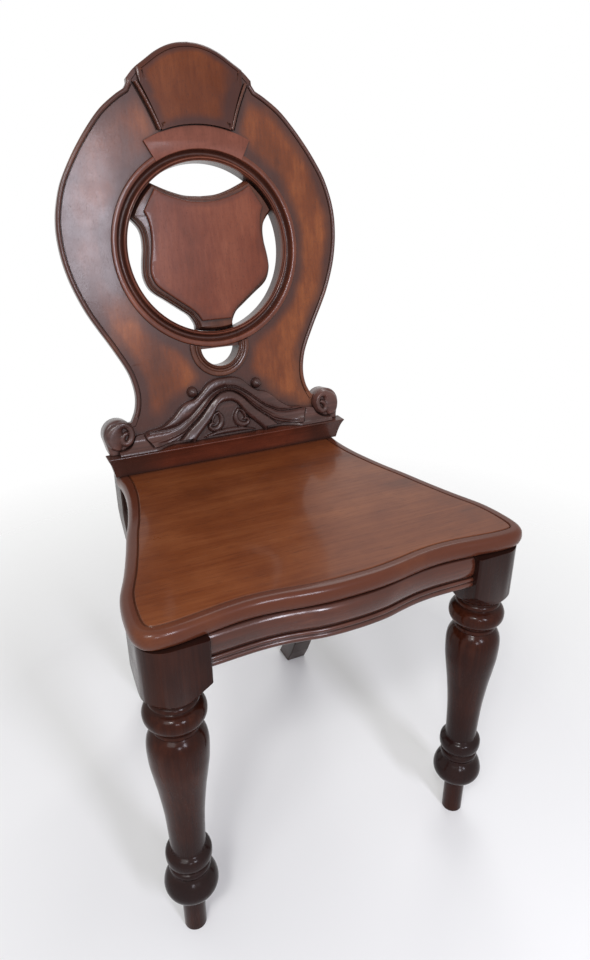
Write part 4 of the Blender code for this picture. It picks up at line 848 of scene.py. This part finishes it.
RING_PROFILE = ((RING_OUTER, -RING_SEAT), (RING_OUTER, 0.0009), (0.1204, 0.0015), (0.1199, 0.0020),
                (0.1192, 0.0022), (0.1152, 0.0022), (0.1145, 0.0019), (0.1141, 0.0012), (0.1138, -0.0002),
                (0.1134, -0.0024), (0.1128, -0.0044), (0.1118, -0.0060), (0.1104, -0.0068), (0.1090, -0.0068),
                (0.1078, -0.0062), (0.1069, -0.0050), (0.1064, -0.0034), (0.1062, -0.0016), (0.1060, 0.0000),
                (0.1056, 0.0011), (0.1050, 0.0018), (0.1043, 0.0020), (0.1037, 0.0017), (0.1033, 0.0010),
                (0.1031, 0.0004), (0.1028, 0.0009), (0.1023, 0.0011), (0.1018, 0.0007), (RING_INNER, -0.0003),
                (RING_INNER, -RING_SEAT))
MOON_PROFILE = ((MOON_OUTER, GAP), (MOON_OUTER, 0.0016), (0.0398, 0.0024), (0.0393, 0.0030), (0.0386, 0.0032),
                (0.0350, 0.0032), (0.0343, 0.0029), (0.0339, 0.0022), (0.0333, 0.0014), (0.0323, 0.0011),
                (0.0313, 0.0012), (0.0306, 0.0018), (0.0302, 0.0026), (0.0298, 0.0037), (0.0292, 0.0042),
                (0.0286, 0.0040), (0.0283, 0.0034), (0.0280, 0.0038), (0.0275, 0.0042), (0.0269, 0.0039),
                (0.0264, 0.0031), (MOON_INNER, 0.0022), (MOON_INNER, GAP))


def make_ring():
    """The turned ring and the small half ring below it."""
    ring = turned_round("ring", list(reversed(RING_PROFILE)), 192, (0.0, RING_S))
    settle(ring, BACK, RING_FINISH, ["ring_moulding"], 40.0)
    half_ring = turned_round("half_ring", list(reversed(MOON_PROFILE)), 128, (0.0, MOON_S))
    cut(half_ring, rod("cut_half_ring", RING_OUTER + 2 * GAP, 0.05, 192, (0.0, RING_S, -0.02)))
    settle(half_ring, BACK, MOULD_FINISH, ["half_ring_moulding"], 40.0)


SHIELD = 0.0835
WEB_STEP = 0.0062
WEB_TOP_SHARES = ((0.0, 0.748), (0.24, 0.766), (0.46, 0.830), (0.64, 0.905))
WEB_SIDE_SHARES = ((1.035, 0.420), (0.975, 0.330), (0.950, 0.215), (0.955, 0.060), (0.982, -0.090),
                   (1.0, -0.225), (1.0, -0.345), (0.958, -0.480), (0.880, -0.580), (0.715, -0.700),
                   (0.500, -0.860), (0.385, -0.950), (0.322, -1.050), (0.300, -1.110))
WEB_BORDER_SHARES = ((0.0, -1.70), (-0.03, -1.58), (-0.10, -1.50), (-0.20, -1.46), (-0.24, -1.35),
                     (-0.26, -1.05), (-0.30, -0.90), (-0.38, -0.80), (-0.50, -0.74), (-0.58, -0.68),
                     (-0.62, -0.55), (-0.63, -0.22), (-0.67, -0.08), (-0.75, -0.02), (-0.84, 0.0))
FACE_SHARES = ((0.0, 0.650), (0.22, 0.668), (0.44, 0.728), (0.60, 0.785), (0.725, 0.855), (0.915, 0.560),
               (0.865, 0.420), (0.850, 0.240), (0.868, 0.060), (0.905, -0.120), (0.925, -0.250),
               (0.915, -0.350), (0.850, -0.480), (0.660, -0.640), (0.415, -0.825), (0.300, -0.930),
               (0.232, -1.040))


def make_shield():
    """The pierced web with its stepped border, and the raised face."""
    inner = RING_INNER - GAP
    ear = arc(RING_S, inner, math.radians(52.0), math.radians(24.0), 12)
    top = through([(x, RING_S + s) for x, s in sized(WEB_TOP_SHARES, SHIELD, SHIELD)] + [ear[0]], 30)
    side = [(x, RING_S + s) for x, s in sized(WEB_SIDE_SHARES, SHIELD, SHIELD)]
    foot = arc(RING_S, inner, -math.pi / 2 + math.radians(14.4), -math.pi / 2, 10)
    half = top + ear[1:] + through(side, 90) + foot
    back = -0.0225
    front = -0.0015
    w = WEB_STEP
    section = [(-0.22 * w, back), (-0.06 * w, back + 0.05 * w), (0.0, back + 0.2 * w)]
    section += [(x, front + z) for x, z in sized(WEB_BORDER_SHARES, w, w)]
    web = moulded("web", mirrored(half), section)
    settle(web, BACK, MOULD_FINISH, ["shield_web"], 40.0)
    points = [(x, RING_S + s) for x, s in sized(FACE_SHARES, SHIELD, SHIELD)]
    outline = mirrored(through(points[:5], 34) + through(points[5:], 90))
    level = front + GAP
    rise = 0.0035
    section = [(0.0, level), (0.0, rise - 0.0018), (-0.0001, rise - 0.0011), (-0.0005, rise - 0.0005),
               (-0.0011, rise - 0.0001), (-0.0018, rise)]
    face = moulded("face", outline, section)
    gridded(face, TONE_CELL, (-0.08, RING_S - 0.09), (0.08, RING_S + 0.08), rise)
    rim = np.array(outline + outline[:1])

    def rule(places):
        return 0.25 + 0.75 * smooth_step(nearest(places[:, :2], rim), 0.001, 0.012)

    lay_tone(face, rule)
    settle(face, BACK, SHIELD_FINISH, ["shield_face"])


def bead_path():
    """Middle line of the bead on the keystone's right."""
    low = Vector((KEY_LOW_X - BEAD / 2, 0.0))
    low.y = RING_S + math.sqrt(KEY_ARC_RADIUS ** 2 - low.x ** 2) + BEAD / 2
    return bowed(low, Vector((KEY_TOP_X - BEAD / 2, KEY_TOP_S + BEAD / 2)), 24)


def make_crest():
    """Keystone, its beads and the arc under it."""
    rise = 0.0052
    outline = keystone_outline(-GAP)
    section = [(0.0, GAP), (0.0, 0.0014), (-0.0002, 0.0020), (-0.0012, 0.0032), (-0.0028, 0.0043),
               (-0.0046, 0.0050), (-0.0052, 0.0050), (-0.0056, 0.0044), (-0.0061, 0.0048), (-0.0068, rise)]
    key = moulded("keystone", outline, section)
    # Only the crest keeps the bevel, the sides run out straight to the beads
    for vert in key.data.vertices:
        x, s, n = vert.co
        away = crest_distance(x, s)
        if away > 0.0085 and n > 0.0012:
            vert.co.z = rise
    gridded(key, TONE_CELL, (-0.075, 0.35), (0.075, 0.466), rise)
    rim = np.array(outline + outline[:1])

    def rule(places):
        gap = nearest(places[:, :2], rim)
        # Painted shade: along the crest's top the dark edge tone reaches over the bevel's whole width
        tone = np.where(places[:, 1] > KEY_TOP_S - 0.01,
                        smooth_step(gap, 0.0062, 0.0150), smooth_step(gap, 0.001, 0.015))
        # Painted shade of a dished face: darker over the right quarter, and a little at the upper left
        right = smooth_step(places[:, 0] - 0.25 * (places[:, 1] - 0.40), 0.026, 0.046)
        left = smooth_step(-places[:, 0], 0.035, 0.060)
        return tone * (1.0 - 0.75 * right) * (1.0 - 0.45 * left)

    lay_tone(key, rule)
    settle(key, BACK, KEY_FINISH, ["crest_keystone"], 24.0)
    turn = math.radians(28.4)
    rise = 0.0030
    inner = 0.1140
    arch = arc(RING_S, KEY_ARC_RADIUS, math.pi / 2, math.pi / 2 - turn, 60)
    under = arc(RING_S, inner, math.pi / 2 - turn, math.pi / 2, 60)
    outline = ([(-x, s) for x, s in reversed(arch[1:])] + arch + under
               + [(-x, s) for x, s in reversed(under[:-1])])
    section = [(0.0, GAP), (0.0, rise - 0.0008), (-0.0002, rise - 0.0003), (-0.0005, rise - 0.0001),
               (-0.0009, rise)]
    band = moulded("arc", outline, section)
    # The plate lies over the ring's flat band and on the board beyond it
    cut(band, turned_bed())
    settle(band, BACK, ARC_FINISH, ["crest_arc"])
    path = bead_path()
    half = BEAD / 2 - GAP
    section = [(-half, GAP), (half, GAP)]
    angles = [math.pi * i / 12 for i in range(13)]
    section += [(half * math.cos(a), 0.0044 + 0.0018 * math.sin(a)) for a in angles]
    for side, word in SIDES:
        strip = swept("bead_" + word, [(side * x, s) for x, s in path], section)
        settle(strip, BACK, MOULD_FINISH, ["crest_bead_" + word], 40.0)


def crest_distance(x, s):
    """Rough distance below the crest's line, straight up."""
    return value_at([(-a, b) for a, b in CREST_LINE], -abs(x)) - s


def turned_bed():
    """A cutter the shape of the ring, with a little room over it."""
    outer = RING_OUTER + GAP
    inner = 0.1131
    top = 0.0024
    profile = [(outer, -0.02), (outer, top), (inner, top), (inner, -0.02)]
    return turned_round("cut_bed", profile, 192, (0.0, RING_S))


PLINTH_SHARES = ((0.0, 0.0), (0.10, 0.16), (0.23, 0.33), (0.38, 0.50), (0.56, 0.68), (0.75, 0.82),
                 (0.92, 0.915), (0.985, 0.945), (1.0, 0.97), (1.0, 0.985), (0.97, 1.0))


def make_plinth():
    """The plinth under the back, flaring out at its front and ends."""
    front = REAR_Y - 0.009
    rear = front + 0.038
    half = LOBE_X + 0.0125
    flare = 0.008
    slices = 40
    low = 0.4
    high = 0.5
    outline = [(-half, front), (half, front), (half, rear + flare), (-half, rear + flare)]
    bottom = SEAT_TOP + GAP
    section = [(out, bottom + z) for out, z in sized(PLINTH_SHARES, flare, PLINTH_TOP - bottom)]
    plinth = moulded("plinth_block", outline, section)
    cutters = [box("cut_rear", (-FAR_X, rear, low), (FAR_X, rear + 0.1, high))]
    for side in (-1, 1):
        xs = sorted((side * (LOBE_X + 0.0053), side * FAR_X))
        cutters.append(box("cut_end", (xs[0], front + 0.010, low), (xs[1], rear + 0.1, high)))
    cut(plinth, *cutters)
    work = bmesh.new()
    work.from_mesh(plinth.data)
    for i in range(1, slices):
        x = (-half - flare) + (2 * half + 2 * flare) * i / slices
        bmesh.ops.bisect_plane(work, geom=work.verts[:] + work.edges[:] + work.faces[:],
                               plane_co=(x, 0.0, 0.0), plane_no=(1.0, 0.0, 0.0), dist=CLOSE)
    work.to_mesh(plinth.data)
    work.free()
    # Painted reflection of the seat: the plinth is lighter and redder in its middle, darker towards its ends
    lay_tone(plinth, lambda places: smooth_step(half - np.abs(places[:, 0]), 0.030, 0.090))
    settle(plinth, ROOT, PLINTH_FINISH, ["plinth"])


# A volute's roll, as (x, y, half width) from the volute's middle: x towards the chair's middle, y up
ROLL = ((-0.0100, -0.0215, 0.0075), (-0.0095, -0.0120, 0.0090), (-0.0078, -0.0030, 0.0112),
        (-0.0060, 0.0040, 0.0114), (-0.0020, 0.0100, 0.0090), (0.0040, 0.0133, 0.0058),
        (0.0095, 0.0122, 0.0050), (0.0138, 0.0078, 0.0048), (0.0153, 0.0008, 0.0050),
        (0.0133, -0.0066, 0.0053), (0.0080, -0.0108, 0.0050), (0.0030, -0.0095, 0.0042),
        (0.0022, -0.0040, 0.0036), (0.0052, 0.0004, 0.0034), (0.0078, 0.0018, 0.0030))
RELIEF_CELL = 0.0006
ROLL_BASE = 0.0018
ROLL_RISE = 0.0046
ROLL_FADE = 0.0035


def strokes(points, line):
    """For each point, how far in from a stroke's edge it is: 1 on its middle line, 0 at its edge and outside.

    The line is a list of (x, y, half width).
    """
    count = 120
    fine_xy = np.array(through([(p[0], p[1]) for p in line], count))
    along = np.linspace(0.0, len(line) - 1, count)
    widths = np.interp(along, range(len(line)), [p[2] for p in line])
    best = np.zeros(len(points))
    for (x, y), width in zip(fine_xy, widths):
        gap = np.hypot(points[:, 0] - x, points[:, 1] - y)
        best = np.maximum(best, 1.0 - gap / width)
    return best


def rounded(share):
    """Quarter round over shares from 0 at the edge to 1 on top."""
    return np.sqrt(np.clip(1.0 - (1.0 - share) ** 2, 0.0, 1.0))


def make_volute(side, word):
    """A rolled scroll end that stands on the plinth, with its roll winding to an eye."""
    r = VOLUTE_RADIUS
    outline = [(-0.0150, -0.0300), (-0.0158, -0.0190), (-0.0172, -0.0120), (-0.0185, -0.0062)]
    angles = [math.radians(196.0 - 4.5 * i) for i in range(61)]
    outline += [(r * math.cos(a), r * math.sin(a)) for a in angles]
    outline += [(0.0040, -0.0300)]
    outline = [(-side * u + side * LOBE_X, v + LOBE_S) for u, v in outline]
    if side > 0:
        outline.reverse()
    rim = 0.0050
    section = [(-0.0030, -0.0215), (0.0, -0.0170), (0.0, rim - 0.0012), (-0.0003, rim - 0.0004),
               (-0.0010, rim)]
    volute = cut(moulded("volute_piece", outline, section), below_plinth_top())
    gridded(volute, RELIEF_CELL, (side * LOBE_X - 0.021, LOBE_S - 0.032),
            (side * LOBE_X + 0.021, LOBE_S + 0.021), rim)
    mesh = volute.data
    co = np.empty(len(mesh.vertices) * 3)
    mesh.vertices.foreach_get("co", co)
    co = co.reshape(-1, 3)
    top = co[:, 2] > rim - CLOSE
    local = np.stack([(co[:, 0] - side * LOBE_X) * -side, co[:, 1] - LOBE_S], 1)
    # The roll stands over the face, and both fall off towards the outline
    into = strokes(local, ROLL)
    edge = np.hypot(local[:, 0], local[:, 1]) / r
    round_over = np.sqrt(np.clip(1.0 - np.clip(edge, 0.0, 1.0) ** 6, 0.0, 1.0))
    height = rim + ROLL_BASE + ROLL_RISE * rounded(into)
    fade = np.sqrt(smooth_step(nearest(co[:, :2], np.array(outline + outline[:1])), 0.0, ROLL_FADE))
    height = rim + (height - rim) * fade * np.minimum(1.0, round_over + 0.3)
    co[:, 2] = np.where(top, height, co[:, 2])
    mesh.vertices.foreach_set("co", co.reshape(-1))
    mesh.update()
    settle(volute, BACK, CARVED_FINISH, ["volute_" + word], 50.0)


# Carving over the plinth: curves of height above the plinth's top against distance from the middle
CONTOUR_LINE = ((0.0, 0.0766), (0.0122, 0.0760), (0.0231, 0.0718), (0.0328, 0.0629), (0.0440, 0.0545),
                (0.0501, 0.0528), (0.0572, 0.0500), (0.0646, 0.0446), (0.0724, 0.0370), (0.0796, 0.0318),
                (0.0869, 0.0268), (0.0936, 0.0245), (0.1002, 0.0236), (0.1068, 0.0228), (0.1111, 0.0208),
                (0.1163, 0.0200), (0.1201, 0.0198), (0.1232, 0.0190), (0.1260, 0.0180))
FINE_LINE = ((0.0, 0.0640), (0.0120, 0.0615), (0.0227, 0.0560), (0.0332, 0.0480), (0.0423, 0.0400),
             (0.0529, 0.0315), (0.0602, 0.0274), (0.0702, 0.0226), (0.0810, 0.0208), (0.0941, 0.0206),
             (0.1060, 0.0206), (0.1150, 0.0190))
RIDGE_LINE = ((0.0, 0.0610), (0.0100, 0.0590), (0.0200, 0.0532), (0.0277, 0.0462), (0.0387, 0.0355),
              (0.0500, 0.0262), (0.0580, 0.0205), (0.0643, 0.0160), (0.0714, 0.0130), (0.0797, 0.0105),
              (0.0880, 0.0085), (0.0984, 0.0080), (0.1077, 0.0074), (0.1150, 0.0070))
HOOD_LINE = ((0.0, 0.0592), (0.0070, 0.0582), (0.0150, 0.0541), (0.0225, 0.0478), (0.0300, 0.0396),
             (0.0402, 0.0290), (0.0512, 0.0200), (0.0606, 0.0120), (0.0700, 0.0035), (0.0765, -0.0030))
INNER_LINE = ((0.0, 0.0455), (0.0074, 0.0445), (0.0134, 0.0407), (0.0180, 0.0345), (0.0215, 0.0285),
              (0.0280, 0.0205), (0.0360, 0.0130), (0.0430, 0.0060), (0.0495, -0.0010), (0.0520, -0.0030))
# Leaf scrolls as (x, height, half width)
LEAF_STROKES = (
    ((0.0138, 0.0325, 0.0018), (0.0105, 0.0265, 0.0030), (0.0098, 0.0205, 0.0036), (0.0125, 0.0145, 0.0040),
     (0.0180, 0.0110, 0.0042), (0.0245, 0.0115, 0.0038), (0.0275, 0.0150, 0.0030), (0.0255, 0.0185, 0.0024),
     (0.0215, 0.0185, 0.0018)),
    ((0.0138, 0.0325, 0.0016), (0.0190, 0.0300, 0.0022), (0.0225, 0.0250, 0.0024), (0.0235, 0.0205, 0.0014)),
    ((0.0, 0.0060, 0.0036), (0.0110, 0.0058, 0.0034), (0.0210, 0.0050, 0.0028), (0.0300, 0.0036, 0.0018),
     (0.0360, 0.0020, 0.0006)),
)
LEAF_RISES = (0.0042, 0.0038, 0.0040)
GROUND = 0.0036
PLATE = 0.0052
WEDGE = 0.0022
SWEEP = 0.0104
ROUND_EDGE = 0.0016
BALL_X = 0.0445
BALL_S = 0.06305


def line_at(line, x):
    """Height of one of the carving's curves at distances from the middle."""
    fine = np.array(through(line, 160))
    return np.interp(x, fine[:, 0], fine[:, 1])


def dome(share):
    """Round section over shares from 0 to 1."""
    return np.sqrt(np.clip(1.0 - (2.0 * share - 1.0) ** 2, 0.0, 1.0))


def between(s, low, high):
    """Share of the way from one curve up to another."""
    return np.clip((s - low) / np.maximum(high - low, 1e-6), 0.0, 1.0)


def carving_height(x, s, contour):
    """Height of the carved face over the board's face."""
    fine = line_at(FINE_LINE, x)
    ridge = line_at(RIDGE_LINE, x)
    hood = line_at(HOOD_LINE, x)
    inner = line_at(INNER_LINE, x)
    height = np.full(x.shape, GROUND)
    # Outer roll, between the contour and the fine lines
    roll = 0.0046 + 0.0038 * dome(0.12 + 0.88 * between(s, fine, contour))
    height = np.where(s >= fine, roll, height)
    # Flute from the fine lines down to the bright ridge
    t = between(s, ridge, fine)
    flute = 0.0068 + 0.0030 * (1.0 - t) ** 2 - 0.0016 * np.sin(math.pi * t)
    height = np.where((s < fine) & (s >= ridge), flute, height)
    # Fall from the ridge to the hood
    fall = 0.0050 + 0.0048 * between(s, hood, ridge) ** 0.6
    height = np.where((s < ridge) & (s >= hood), fall, height)
    # The hood rises fast from its inner edge to its brow, and falls more slowly to its outer one
    t = between(s, inner, hood)
    brow = 0.34
    strip = (0.0044 + 0.0064 * rounded(np.minimum(t / brow, 1.0))
             * (1.0 - 0.62 * np.clip((t - brow) / 0.66, 0.0, 1.0) ** 1.4))
    height = np.where((s < hood) & (s >= inner), strip, height)
    # Fine incised lines, each at a height over its curve, with its depth, width and ends
    slope = np.gradient(fine, axis=0) / np.maximum(np.gradient(x, axis=0), 1e-9)
    lean = 1.0 / np.sqrt(1.0 + np.clip(slope, -3.0, 3.0) ** 2)
    for curve, shift, depth, width, start, end in ((fine, 0.0, 0.0017, 0.00055, -1.0, 0.108),
                                                   (fine, 0.0021, 0.0014, 0.00055, -1.0, 0.108),
                                                   (ridge, -0.0026, 0.0012, 0.0005, 0.012, 0.100),
                                                   (hood, 0.0, 0.0015, 0.0006, -1.0, 1.0)):
        gap = (s - curve - shift) * lean
        height = height - depth * np.exp(-(gap / width) ** 2) * (x > start) * (x < end)
    return height


def closed_relief(name, verts):
    """A grid of places, by columns and rows, as a piece with a flat back."""
    columns, rows = verts.shape[:2]
    flat = verts.reshape(-1, 3)
    faces = []
    for i in range(columns - 1):
        for j in range(rows - 1):
            a = i * rows + j
            faces.append((a, a + rows, a + rows + 1, a + 1))
    # The grid's border, and the same border on the back
    loop = [i * rows for i in range(columns)]
    loop += [(columns - 1) * rows + j for j in range(1, rows)]
    loop += [i * rows + rows - 1 for i in range(columns - 2, -1, -1)]
    loop += range(rows - 2, 0, -1)
    base = len(flat)
    back = [(flat[k][0], max(flat[k][1], 0.0004), GAP) for k in loop]
    points = [tuple(p) for p in flat] + back
    for k in range(len(loop)):
        k2 = (k + 1) % len(loop)
        faces.append((loop[k2], loop[k], base + k, base + k2))
    faces.append(tuple(base + k for k in range(len(loop) - 1, -1, -1)))
    mesh = bpy.data.meshes.new(name)
    mesh.from_pydata(points, [], faces)
    mesh.update()
    return placed(name, mesh)


def make_carving():
    """The carved band over the plinth, as one closed relief."""
    foot_x = LOBE_X + 0.0040
    columns = 430
    rows = 118
    across = np.linspace(-foot_x, foot_x, columns)
    x = np.abs(across)
    top = line_at(CONTOUR_LINE, x)
    reach = np.sqrt(np.clip((VOLUTE_RADIUS + GAP) ** 2 - (x - LOBE_X) ** 2, 0.0, None))
    under = LOBE_S - reach
    top = np.where(x > LOBE_X - VOLUTE_RADIUS - GAP, np.minimum(top, under), top)
    top = np.maximum(top, 0.0012)
    t = np.linspace(0.0, 1.0, rows) ** 0.92
    low = 0.00045
    grid_x = np.repeat(x[:, None], rows, 1)
    grid_s = low + (top[:, None] - low) * t[None, :]
    contour = np.repeat(top[:, None], rows, 1)
    height = carving_height(grid_x, grid_s, contour)
    # The plain plate between the band's rolled end and the volute
    turn_x = np.interp(grid_s, (0.0, 0.0072, 0.0117, 0.0172, 0.0205, 0.03),
                       (0.104, 0.1077, 0.1112, 0.1132, 0.1120, 0.109))
    beyond = smooth_step(grid_x - turn_x, -0.0004, 0.0006)
    height = height * (1 - beyond) + PLATE * beyond
    height = height - 0.0016 * np.exp(-((grid_x - turn_x - 0.0006) / 0.0008) ** 2) * (grid_s < 0.021)
    # Below the ridge, away from the hood, the plate runs down to the plinth
    ridge = line_at(RIDGE_LINE, grid_x)
    hood = line_at(HOOD_LINE, grid_x)
    below = smooth_step(ridge - 0.0050 - grid_s, 0.0, 0.0012) * smooth_step(grid_s - hood, 0.0, 0.004)
    height = height * (1 - below) + PLATE * below
    wedge = (smooth_step(0.0042 - grid_s, 0.0, 0.0012) * smooth_step(grid_x, 0.050, 0.056)
             * smooth_step(0.088 - grid_x, 0.0, 0.012))
    height = height * (1 - wedge) + WEDGE * wedge
    # Leaf scrolls inside the hood
    places = np.stack([grid_x.reshape(-1), grid_s.reshape(-1)], 1)
    for line, rise in zip(LEAF_STROKES, LEAF_RISES):
        into = strokes(places, line).reshape(height.shape)
        over = GROUND + rise * rounded(into)
        height = np.where(into > 0.0, np.maximum(height, over), height)
    # The round edge along the contour
    away = contour - grid_s
    height = np.where(away < ROUND_EDGE, np.minimum(height, 0.0034 + 2.2 * away), height)
    # The foot sweeps forward to the plinth's edge near the ends
    sweep = smooth_step(grid_x, 0.084, 0.102) * np.clip(1.0 - grid_s / 0.0135, 0.0, 1.0) ** 1.8
    height = height + SWEEP * sweep
    # Marks of the hand
    wander = (np.sin(grid_x * 731.0 + grid_s * 913.0)
              + np.sin(across[:, None] * 1307.0 - grid_s * 571.0)) * 0.00002
    height = np.maximum(height + wander, 0.0010)
    verts = np.stack([np.repeat(across[:, None], rows, 1), grid_s, height], 2)
    # The lower edge follows the plinth's level top
    level = (GAP - math.sin(BACK_TILT) * verts[:, 0, 2]) / math.cos(BACK_TILT)
    verts[:, 0, 1] = np.minimum(verts[:, 0, 1], level + 0.0001)
    settle(closed_relief("carving", verts), BACK, CARVED_FINISH,
           ["carved_band", "scroll_moulding", "carved_boss", "carved_leaf_scroll_left",
            "carved_leaf_scroll_right"], 60.0)


def make_balls():
    """The two balls over the carving."""
    angles = [math.radians(5.0 * i) for i in range(19)]
    profile = [(0.0070 * math.sin(a), 0.0012 + 0.0084 * math.cos(a)) for a in angles]
    profile += [(0.0072, 0.0008), (0.0070, GAP), (0.0, GAP)]
    for side, word in SIDES:
        ball = turned_round("ball_" + word, profile, 48, (side * BALL_X, BALL_S), closed=False)
        settle(ball, BACK, CARVED_FINISH, ["carved_ball_" + word], 40.0)


make_seat()
for side, word in SIDES:
    make_leg(side, word)
make_rail()
make_board()
make_ring()
make_shield()
make_crest()
make_plinth()
for side, word in SIDES:
    make_volute(side, word)
make_carving()
make_balls()

# Camera, light, floor

camera = placed("camera", bpy.data.cameras.new("camera"))
bpy.context.scene.camera = camera
camera.data.sensor_width = 36.0
# Place, turns and lens as fitted to the photo
camera.data.lens = 26.4765
camera.matrix_world = (Matrix.Translation((-0.3025, SHIFT_Y - 0.5225, 0.8134))
                       @ Matrix.Rotation(math.radians(-25.6209), 4, "Z")
                       @ Matrix.Rotation(math.radians(90.0 - 25.4121), 4, "X")
                       @ Matrix.Rotation(math.radians(-0.2745), 4, "Z"))
bpy.context.scene.view_settings.view_transform = "Standard"


def area_light(name, place, target, width, height, power, tint=(1.0, 1.0, 1.0)):
    """A rectangular soft lamp."""
    lamp = bpy.data.lights.new(name, "AREA")
    lamp.shape = "RECTANGLE"
    lamp.size = width
    lamp.size_y = height
    lamp.energy = power
    lamp.color = tint
    made = placed(name, lamp)
    made.matrix_world = (Matrix.Translation(place)
                         @ (Vector(target) - Vector(place)).to_track_quat("-Z", "Y").to_matrix().to_4x4())


area_light("key_lamp", (-1.5, -1.6, 2.3), (0.0, 0.0, 0.5), 1.2, 1.2, 22.0)
area_light("glint_lamp", (-0.9, -1.3, 1.95), (0.0, 0.0, 0.4), 0.26, 0.26, 10.0)
area_light("wing_lamp", (0.185, -1.78, 1.27), (0.0, 0.1, 0.65), 0.27, 0.60, 15.0, (0.88, 0.88, 1.0))
area_light("front_lamp", (-0.45, -1.9, 1.0), (-0.05, -0.24, 0.38), 0.30, 0.30, 5.5, (0.92, 0.90, 1.0))
area_light("rear_lamp", (1.1, 1.3, 2.6), (0.0, 0.0, 0.45), 1.2, 1.2, 16.0)

world = bpy.data.worlds.new("studio")
bpy.context.scene.world = world
world.use_nodes = True
tree = world.node_tree
tree.nodes.clear()
# The camera, gloss and glass see white, and all else gets a softer light from it
ways = tree.nodes.new("ShaderNodeLightPath")
seen = ways.outputs["Is Camera Ray"]
for other in ("Is Glossy Ray", "Is Transmission Ray"):
    either = tree.nodes.new("ShaderNodeMath")
    either.operation = "MAXIMUM"
    tree.links.new(seen, either.inputs[0])
    tree.links.new(ways.outputs[other], either.inputs[1])
    seen = either.outputs[0]
join = tree.nodes.new("ShaderNodeMixShader")
tree.links.new(seen, join.inputs[0])
for strength, socket in ((0.45, join.inputs[1]), (1.0, join.inputs[2])):
    light = tree.nodes.new("ShaderNodeBackground")
    light.inputs["Color"].default_value = rgb(1.0, 1.0, 1.0)
    light.inputs["Strength"].default_value = strength
    tree.links.new(light.outputs[0], socket)
out = tree.nodes.new("ShaderNodeOutputWorld")
tree.links.new(join.outputs[0], out.inputs[0])


# The floor's paint fades to the white background between these distances from the middle
FLOOR_NEAR = 0.45
FLOOR_FAR = 1.15
FLOOR_HALF = 6.0


def make_floor():
    """A pale floor that keeps the chair's shadow, and is white away from it."""
    mesh = bpy.data.meshes.new("floor")
    corners = ((-1, -1), (1, -1), (1, 1), (-1, 1))
    mesh.from_pydata([(x * FLOOR_HALF, y * FLOOR_HALF, 0.0) for x, y in corners], [], [(0, 1, 2, 3)])
    floor = placed("floor", mesh)
    floor.location.z = -0.0003
    t = Tree("floor_paint")
    t.fill(Base_Color=rgb(0.86, 0.86, 0.86), Roughness=0.9, Specular_IOR_Level=0.1)
    away = t.add("VectorMath", operation="LENGTH")
    t.links.new(t.add("TexCoord").outputs["Object"], away.inputs[0])
    far = t.math("POWER", t.span(away.outputs["Value"], FLOOR_NEAR, FLOOR_FAR), 0.8)
    blend = t.add("MixShader")
    for socket, source in zip(blend.inputs, (far, t.shader.outputs[0], t.add("BsdfTransparent").outputs[0])):
        t.links.new(source, socket)
    t.links.new(blend.outputs[0], t.nodes["Material Output"].inputs["Surface"])
    mesh.materials.append(t.material)


make_floor()
